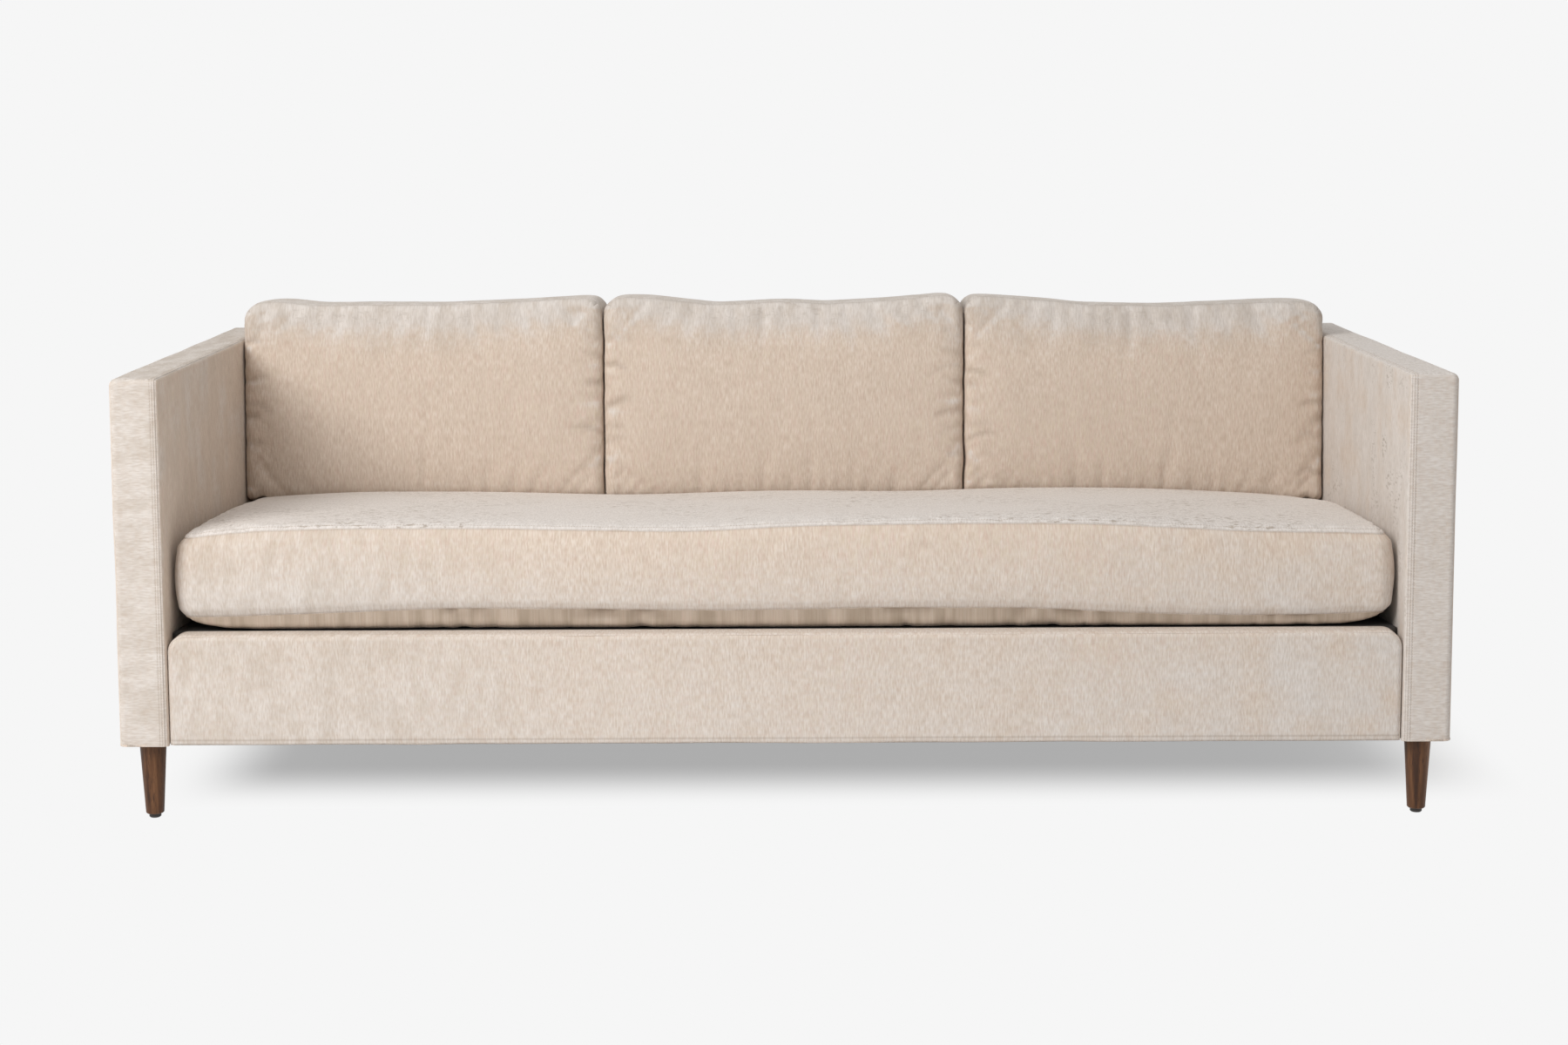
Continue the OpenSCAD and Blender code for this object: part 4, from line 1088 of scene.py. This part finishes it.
def makeArm(side, name, seed):
    # One arm: a padded slab with rounded edges, drawn for the right and mirrored for the left. A seam runs up
    # its front and back along its top, just outside the inner face, with two rows of stitches beside it.
    low = np.array(arm["low"])
    high = np.array(arm["high"])
    lattice = boxLattice([unevenLine(low[k], high[k], arm["steps"][k], arm["fine"], arm["border"])
                          for k in range(3)])
    flat = lattice["points"]
    x, y, z = flat.T
    across = x - low[0]
    radius = arm["innerEdge"] + (arm["outerEdge"] - arm["innerEdge"]) * smoothStep((across - 0.02) / 0.04)
    points = roundedBox(flat, low, high, radius, 0.0)
    points[:, 0] += turnedAway(y, z) * np.clip((high[0] - x) / (high[0] - low[0]), 0, 1)

    # soft unevenness, which never grows past the box
    normals = pointNormals(points, lattice["quads"])
    numbers = lattice["numbers"]
    onFront = numbers[:, 1] == 0
    onTop = numbers[:, 2] == lattice["counts"][2]
    plain = softNoise(y + x, z + x, 0.11, seed)
    gather = softNoise(y + z, x * 0.5, 0.023, seed + 1) * np.exp(-across / 0.03) * (onFront | onTop)
    height = arm["soft"] * (plain - 1) - arm["gather"] * np.maximum(gather, 0)
    groove = bellRow(across, -0.0012, arm["seam"], 0.0011)
    groove = groove + bellRow(across, 0.0004, sum(arm["rows"]) / 2, 0.0012)
    for row in arm["rows"]:
        groove = groove + bellRow(across, -0.0006, row, 0.0009)
    height = height + np.where(onFront | onTop, groove, 0.0)
    points += normals * height[:, None]
    # the hem runs along the front, the rear and the outside
    points = openBelow(points, lattice, arm, np.minimum(np.minimum(y - low[1], high[1] - y), high[0] - x))
    # painted shade: darker in the seam's groove and along both rows of stitches, more on the left arm
    shade = bell(across, arm["seam"], 0.0011)
    for row in arm["rows"]:
        shade = shade + bellRow(across, 0.35, row, 0.0009)
    dark = np.where(onFront | onTop, arm["seamShade"][name] * shade, 0.0)

    # stitches: the lattice's own lines nearest to the rows, up the front and then back along the top
    normals = pointNormals(points, lattice["quads"])
    lines = []
    for row in arm["rows"]:
        line = int(np.argmin(np.abs(lattice["lines"][0] - low[0] - row)))
        up = np.flatnonzero(onFront & (numbers[:, 0] == line))
        back = np.flatnonzero(onTop & (numbers[:, 0] == line))
        up = up[np.argsort(numbers[up, 2])]
        back = back[np.argsort(numbers[back, 1])]
        lines.append(np.concatenate([up[3:], back[1:-3]]))

    quads = lattice["quads"]
    uv = clothMap(lattice, ((1, 2), (2, 0), (0, 1)), seed)
    if side < 0:
        points = points * np.array([-1, 1, 1])
        normals = normals * np.array([-1, 1, 1])
        quads = quads[:, ::-1]
        uv = uv[:, ::-1]
    rows = joined([thread(points[line], normals[line], stitching) for line in lines])

    # the fronts and tops are half crushed; inside, the right arm's face is painted paler as the key light
    # falls on it, with mottled crushed patches, and the left one's stays deeper
    onInner = numbers[:, 0] == 0
    pale = np.where(onFront, arm["crushedAndLit"]["front"], 0.3)
    pale = np.where(onTop, arm["crushedAndLit"]["top"], pale)
    mottled = softNoise(y, z * 0.6, 0.034, seed + 4)
    pale = np.where(onInner, arm["crushedAndLit"][name] + arm["mottle"] * mottled, pale)
    # painted shade: deeper on both inner faces, on the left arm's front and top more than on the right's, and
    # on the left arm's upper front
    nap = arm["standingShade"]
    standingShade = np.where(onInner, nap[name], 0.0)
    standingShade = np.where(onTop, nap["top" + name.capitalize()], standingShade)
    upper = arm["upper"] * smoothStep((z - 0.45) / 0.25) * (side < 0)
    standingShade = np.where(onFront, nap["front" + name.capitalize()] + upper, standingShade)
    marks = dict(pale=pale, seam=dark, nap=standingShade)
    covered = ["arm_cover_" + name, "arm_pad_" + name]
    upholster("arm_" + name, "frame", points, quads, uv, marks, covered)
    sewOn("arm_" + name + "_stitches", "frame", rows)


makeArm(-1, "left", arm["seeds"][0])
makeArm(1, "right", arm["seeds"][1])


# The back
back = dict(
    halfWidth=0.9866, outer=0.450, top=0.720, hem=0.127, flap=0.0022, tuck=0.2515, face=0.342,
    faceHeight=0.2603, edge=0.010, step=0.014, fine=0.0016, border=0.0112, seam=0.014, soft=0.0006, seed=83,
)


def makeBack():
    # The back between the arms: its inside face leans with the cushions, and below it the outer back hangs on
    # as a thin flap down to the hem. A seam crosses the outer back just under the top.
    slope = math.tan(deck["fall"])
    thickness = back["outer"] - back["face"] - (back["top"] - back["faceHeight"]) * slope
    inner = back["outer"] - thickness
    heights = np.concatenate([unevenLine(back["hem"], back["tuck"] - 0.0005, back["step"], 0.0016, 0.0032),
                              unevenLine(back["tuck"], back["top"], back["step"], back["fine"],
                                         back["border"])])
    lattice = boxLattice([unevenLine(-back["halfWidth"], back["halfWidth"], back["step"], 0.004, 0.012),
                          unevenLine(inner, back["outer"], back["step"] / 3, back["fine"], back["border"]),
                          heights])
    flat = lattice["points"]
    x, _, z = flat.T

    # its top edges are round: a point near them moves out from an inner line to the radius
    radius = back["edge"] * smoothStep((z - back["top"] + 0.03) / 0.02)
    near = np.stack([np.clip(flat[:, 1], inner + radius, back["outer"] - radius),
                     np.minimum(z, back["top"] - radius)], -1)
    away = flat[:, 1:] - near
    length = np.maximum(np.linalg.norm(away, axis=1), 1e-9)
    scale = np.where(length > radius, radius / length, 1.0)
    points = flat.copy()
    points[:, 1:] = np.where((radius > 1e-4)[:, None], near + away * scale[:, None], flat[:, 1:])

    # the inside face's lean, and the flap
    inside = np.clip((back["outer"] - points[:, 1]) / thickness, 0, 1)
    lean = (points[:, 2] - back["top"]) * slope
    low = z < back["tuck"] - 0.0002
    points[:, 1] = np.where(low, back["outer"] - inside * back["flap"], points[:, 1] + lean * inside)

    # its upper rear corners fill the space from which the arms' inner faces turn away
    corner = turnedAway(points[:, 1], points[:, 2]) * smoothStep((np.abs(x) - 0.93) / 0.05)
    points[:, 0] += np.sign(x) * corner

    # soft unevenness and the seam
    onOuter = lattice["numbers"][:, 1] == lattice["counts"][1]
    onInner = lattice["numbers"][:, 1] == 0
    plain = softNoise(x, z, 0.15, back["seed"])
    normals = pointNormals(points, lattice["quads"])
    seamed = onOuter * bell(back["top"] - z, back["seam"], 0.0022)
    height = np.where((onOuter | onInner) & ~low, back["soft"] * (plain - 1), 0.0) - 0.0015 * seamed
    points += normals * height[:, None]
    # painted light and shade: upward faces a little paler, the seam's groove darker, and the top deeper, as
    # in the cushions' shade
    marks = dict(pale=0.3 * paleness(points, lattice["quads"]), seam=0.5 * seamed,
                 nap=0.22 * smoothStep((normals[:, 2] - 0.5) / 0.4))
    uv = clothMap(lattice, ((1, 2), (0, 2), (0, 1)), back["seed"])
    upholster("back", "frame", points, lattice["quads"], uv, marks, ["back_cover", "back_pad"])


makeBack()


# The front rail
rail = dict(
    halfWidth=0.9866, front=-0.447, rear=-0.4072, hem=0.127, top=0.306, corner=0.028, edge=0.0095,
    step=0.012, fine=0.0013, border=0.0143, wrap=0.010, raised=0.1302, seed=97,
)


def makeRail():
    # The front rail: its upper corners are round, and so is the edge all round its front. A point's distance
    # m from the corner's centre is its greater coordinate there; the edge's arc shortens m, and the corner
    # then turns squares into circles of radius m.
    low = np.array([-rail["halfWidth"], rail["front"], rail["hem"]])
    high = np.array([rail["halfWidth"], rail["rear"], rail["top"]])
    lines = [unevenLine(low[0], high[0], rail["step"], rail["fine"], rail["border"]),
             unevenLine(low[1], high[1], rail["step"] / 4, rail["fine"], rail["border"], (True, False)),
             unevenLine(low[2], high[2], rail["step"], rail["fine"], rail["border"])]
    lattice = boxLattice(lines)
    flat = lattice["points"]
    x, y, z = flat.T
    points = flat.copy()
    edge = rail["edge"]
    corner = np.stack([np.abs(x) - rail["halfWidth"] + rail["corner"], z - rail["top"] + rail["corner"]], -1)
    reach = corner.max(1)
    inset = rail["corner"] - reach
    depth = y - rail["front"]
    outward = np.maximum(edge - inset, 0)
    forward = np.maximum(edge - depth, 0)
    length = np.maximum(np.hypot(outward, forward), 1e-9)
    turned = (outward > 0) & (forward > 0)
    scale = np.where(turned, np.maximum(outward, forward) / length, 1.0)
    newInset = np.where(turned, edge - outward * scale, inset)
    newReach = rail["corner"] - newInset
    points[:, 1] = np.where(turned, rail["front"] + edge - forward * scale, y)
    both = (corner > 0).all(1)
    shrink = newReach / np.where(np.abs(reach) > 1e-9, reach, 1.0)
    flatLength = np.maximum(np.linalg.norm(corner, axis=1), 1e-9)
    shrink = np.where(both, newReach / flatLength, shrink)
    moveX = (corner[:, 0] > 0) & (both | (corner[:, 0] >= corner[:, 1]))
    moveZ = (corner[:, 1] > 0) & (both | (corner[:, 1] > corner[:, 0]))
    newX = np.sign(x) * (rail["halfWidth"] - rail["corner"] + corner[:, 0] * shrink)
    points[:, 0] = np.where(moveX, newX, x)
    points[:, 2] = np.where(moveZ, rail["top"] - rail["corner"] + corner[:, 1] * shrink, z)

    # the hem rolls under and waves a little; the face is softly uneven
    onFront = lattice["numbers"][:, 1] == 0
    hemward = np.exp(-(z - rail["hem"]) / 0.003)
    points[:, 1] += np.where(onFront, 0.0022 * hemward, 0.0)
    points[:, 2] += 0.0009 * (1 + softNoise(x, 0 * x, 0.08, rail["seed"])) * hemward * (depth < 0.012)
    plain = softNoise(x, z, 0.13, rail["seed"] + 1) + 0.4 * softNoise(x, z * 0.5, 0.035, rail["seed"] + 2)
    points[:, 1] += np.where(onFront, 0.0006 * (1.4 - plain), 0.0)
    points = openBelow(points, lattice, rail, depth)

    # paler down towards the hem and towards the ends, with patches that grow stronger to the right
    patches = softNoise(x, z, 0.045, rail["seed"] + 3)
    toRight = smoothStep((x - 0.1) / 0.9)
    toLeft = smoothStep((-x - 0.2) / 0.6)
    rise = (z - low[2]) / (high[2] - low[2])
    pale = 0.52 - 0.16 * rise + (0.04 + 0.22 * toRight) * patches + 0.12 * toRight + 0.12 * toLeft
    # painted shade: deeper all over and more to the left, and darker in a line just above the hem
    marks = dict(pale=np.where(onFront, pale, 0.45), nap=0.07 + 0.15 * toLeft,
                 seam=np.where(onFront, bellRow(z, 0.35, rail["hem"] + 0.009, 0.0016), 0.0))
    uv = clothMap(lattice, ((1, 2), (0, 2), (0, 1)), rail["seed"])
    upholster("rail", "frame", points, lattice["quads"], uv, marks, ["rail_cover", "rail_pad"])


makeRail()


# The deck and the dust cloth
decking = dict(
    halfWidth=0.9864, run=(0.0006, 0.7500), rise=(-0.0138, -0.0002), edge=0.005, step=0.018, fine=0.0014,
    border=0.0056, seams=(0.095, 0.400), soft=0.0006, sunk=0.0020, pucker=0.0008, seed=113,
)


def makeDeck():
    # the platform under the seat cushion: cloth over a thin pad, sewn down across at two seams
    low = np.array([-decking["halfWidth"], decking["run"][0], decking["rise"][0]])
    high = np.array([decking["halfWidth"], decking["run"][1], decking["rise"][1]])
    runs = unevenLine(low[1], high[1], decking["step"], decking["fine"], decking["border"])
    near = (np.linspace(-0.009, 0.009, 10) + seam for seam in decking["seams"])
    runs = np.unique(np.round(np.concatenate([runs, *near]), 4))
    lattice = boxLattice([unevenLine(low[0], high[0], decking["step"], decking["fine"], decking["border"]),
                          runs, unevenLine(low[2], high[2], 0.003, decking["fine"], decking["fine"])])
    flat = lattice["points"]
    points = roundedBox(flat, low, high, np.full(len(flat), decking["edge"]))
    onTop = lattice["numbers"][:, 2] == lattice["counts"][2]
    sunk = sum(bell(flat[:, 1], seam, 0.0035) for seam in decking["seams"])
    plain = softNoise(flat[:, 0], flat[:, 1], 0.12, decking["seed"])
    pucker = softNoise(flat[:, 0], 0 * flat[:, 0], 0.02, decking["seed"] + 1)
    sunk = (decking["sunk"] + decking["pucker"] * pucker) * sunk
    points[:, 2] += np.where(onTop, decking["soft"] * (plain - 1) - sunk, 0.0)
    piece = makePiece("deck", fromDeck(points), lattice["quads"], nodes["deck_cloth"].data.materials[0])
    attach(piece, "frame")
    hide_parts("deck_cloth", "deck_pad")


dust = dict(
    halfWidth=1.0644, front=-0.4346, rear=0.4446, post=(1.0018, 0.3752), low=0.1285, high=0.1293, sag=0.0012,
    seed=127,
    staple=dict(pitch=0.045, wide=0.011, wire=0.0006, reachX=0.96, reachY=0.34, rowsY=(-0.424, 0.436),
                rowX=1.052),
)


def makeDustCloth():
    # The cloth stapled under the frame, cut out round the four posts: a thin slab of two layers and the walls
    # along every edge that only one kept cell has. It sags a little between the rails.
    postX, postY = dust["post"]
    end = np.linspace(postX, dust["halfWidth"], 4)
    x = np.unique(np.concatenate([-end, np.linspace(-postX, postX, 101), end]))
    y = np.unique(np.concatenate([np.linspace(dust["front"], -postY, 4), np.linspace(-postY, postY, 41),
                                  np.linspace(postY, dust["rear"], 4)]))
    number = np.arange(len(x) * len(y)).reshape(len(x), len(y))
    cells = np.stack([number[:-1, :-1], number[1:, :-1], number[1:, 1:], number[:-1, 1:]], -1)
    middleX = (x[1:] + x[:-1])[:, None] / 2
    middleY = (y[1:] + y[:-1])[None] / 2
    keep = (np.abs(middleX) < postX) | (np.abs(middleY) < postY)
    cells = cells[keep]
    edges = np.stack([cells, np.roll(cells, -1, 1)], -1).reshape(-1, 2)
    code = np.sort(edges, 1) @ np.array([1, len(x) * len(y)])
    codes, times = np.unique(code, return_counts=True)
    rim = edges[np.isin(code, codes[times == 1])]
    gx, gy = (grid.ravel() for grid in np.meshgrid(x, y, indexing="ij"))
    inside = smoothStep((1.0 - np.abs(gx)) / 0.25) * smoothStep((0.40 - np.abs(gy)) / 0.2)
    wave = 0.5 + 0.5 * softNoise(gx, gy, 0.17, dust["seed"])
    sag = dust["sag"] * inside * wave
    top = np.stack([gx, gy, dust["high"] - sag], -1)
    low = np.stack([gx, gy, dust["low"] - sag], -1)
    count = len(gx)
    walls = np.stack([rim[:, 0] + count, rim[:, 1] + count, rim[:, 1], rim[:, 0]], -1)
    quads = np.concatenate([cells, cells[:, ::-1] + count, walls])
    used, index = np.unique(quads, return_inverse=True)
    piece = makePiece("dust_cloth", np.concatenate([top, low])[used], index.reshape(-1, 4),
                      nodes["dust_cover"].data.materials[0])
    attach(piece, "frame")
    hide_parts("dust_cover")


def makeStaples():
    # one staple's crown every 45 mm along the front and back rails and under the arms: a thin flat bar
    staple = dust["staple"]
    alongX = np.arange(-staple["reachX"], staple["reachX"] + 0.001, staple["pitch"])
    alongY = np.arange(-staple["reachY"], staple["reachY"] + 0.001, staple["pitch"])
    places = np.concatenate([*([(at, row, 0) for at in alongX] for row in staple["rowsY"]),
                             *([(end * staple["rowX"], at, 1) for at in alongY] for end in (-1, 1))])
    half = np.array([staple["wide"] / 2, staple["wire"], staple["wire"] / 2])
    corner = np.array([[-1, -1, -1], [1, -1, -1], [1, 1, -1], [-1, 1, -1],
                       [-1, -1, 1], [1, -1, 1], [1, 1, 1], [-1, 1, 1]]) * half
    # under the arms a bar lies along Y: its corners swap x and y, and its faces turn round
    turned = places[:, 2][:, None, None] > 0
    shape = np.where(turned, corner[:, [1, 0, 2]], corner)
    height = np.full(len(places), dust["low"] - staple["wire"] / 2)
    middle = np.stack([places[:, 0], places[:, 1], height], -1)
    face = np.array([[3, 2, 1, 0], [4, 5, 6, 7], [0, 1, 5, 4], [1, 2, 6, 5], [2, 3, 7, 6], [3, 0, 4, 7]])
    faces = np.where(turned, face[:, ::-1], face) + np.arange(len(places))[:, None, None] * 8
    piece = makePiece("staples", (shape + middle[:, None]).reshape(-1, 3), faces.reshape(-1, 4),
                      nodes["leg_plates"].data.materials[0])
    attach(piece, "frame")


makeDeck()
makeDustCloth()
makeStaples()
print("deck and dust cloth made")
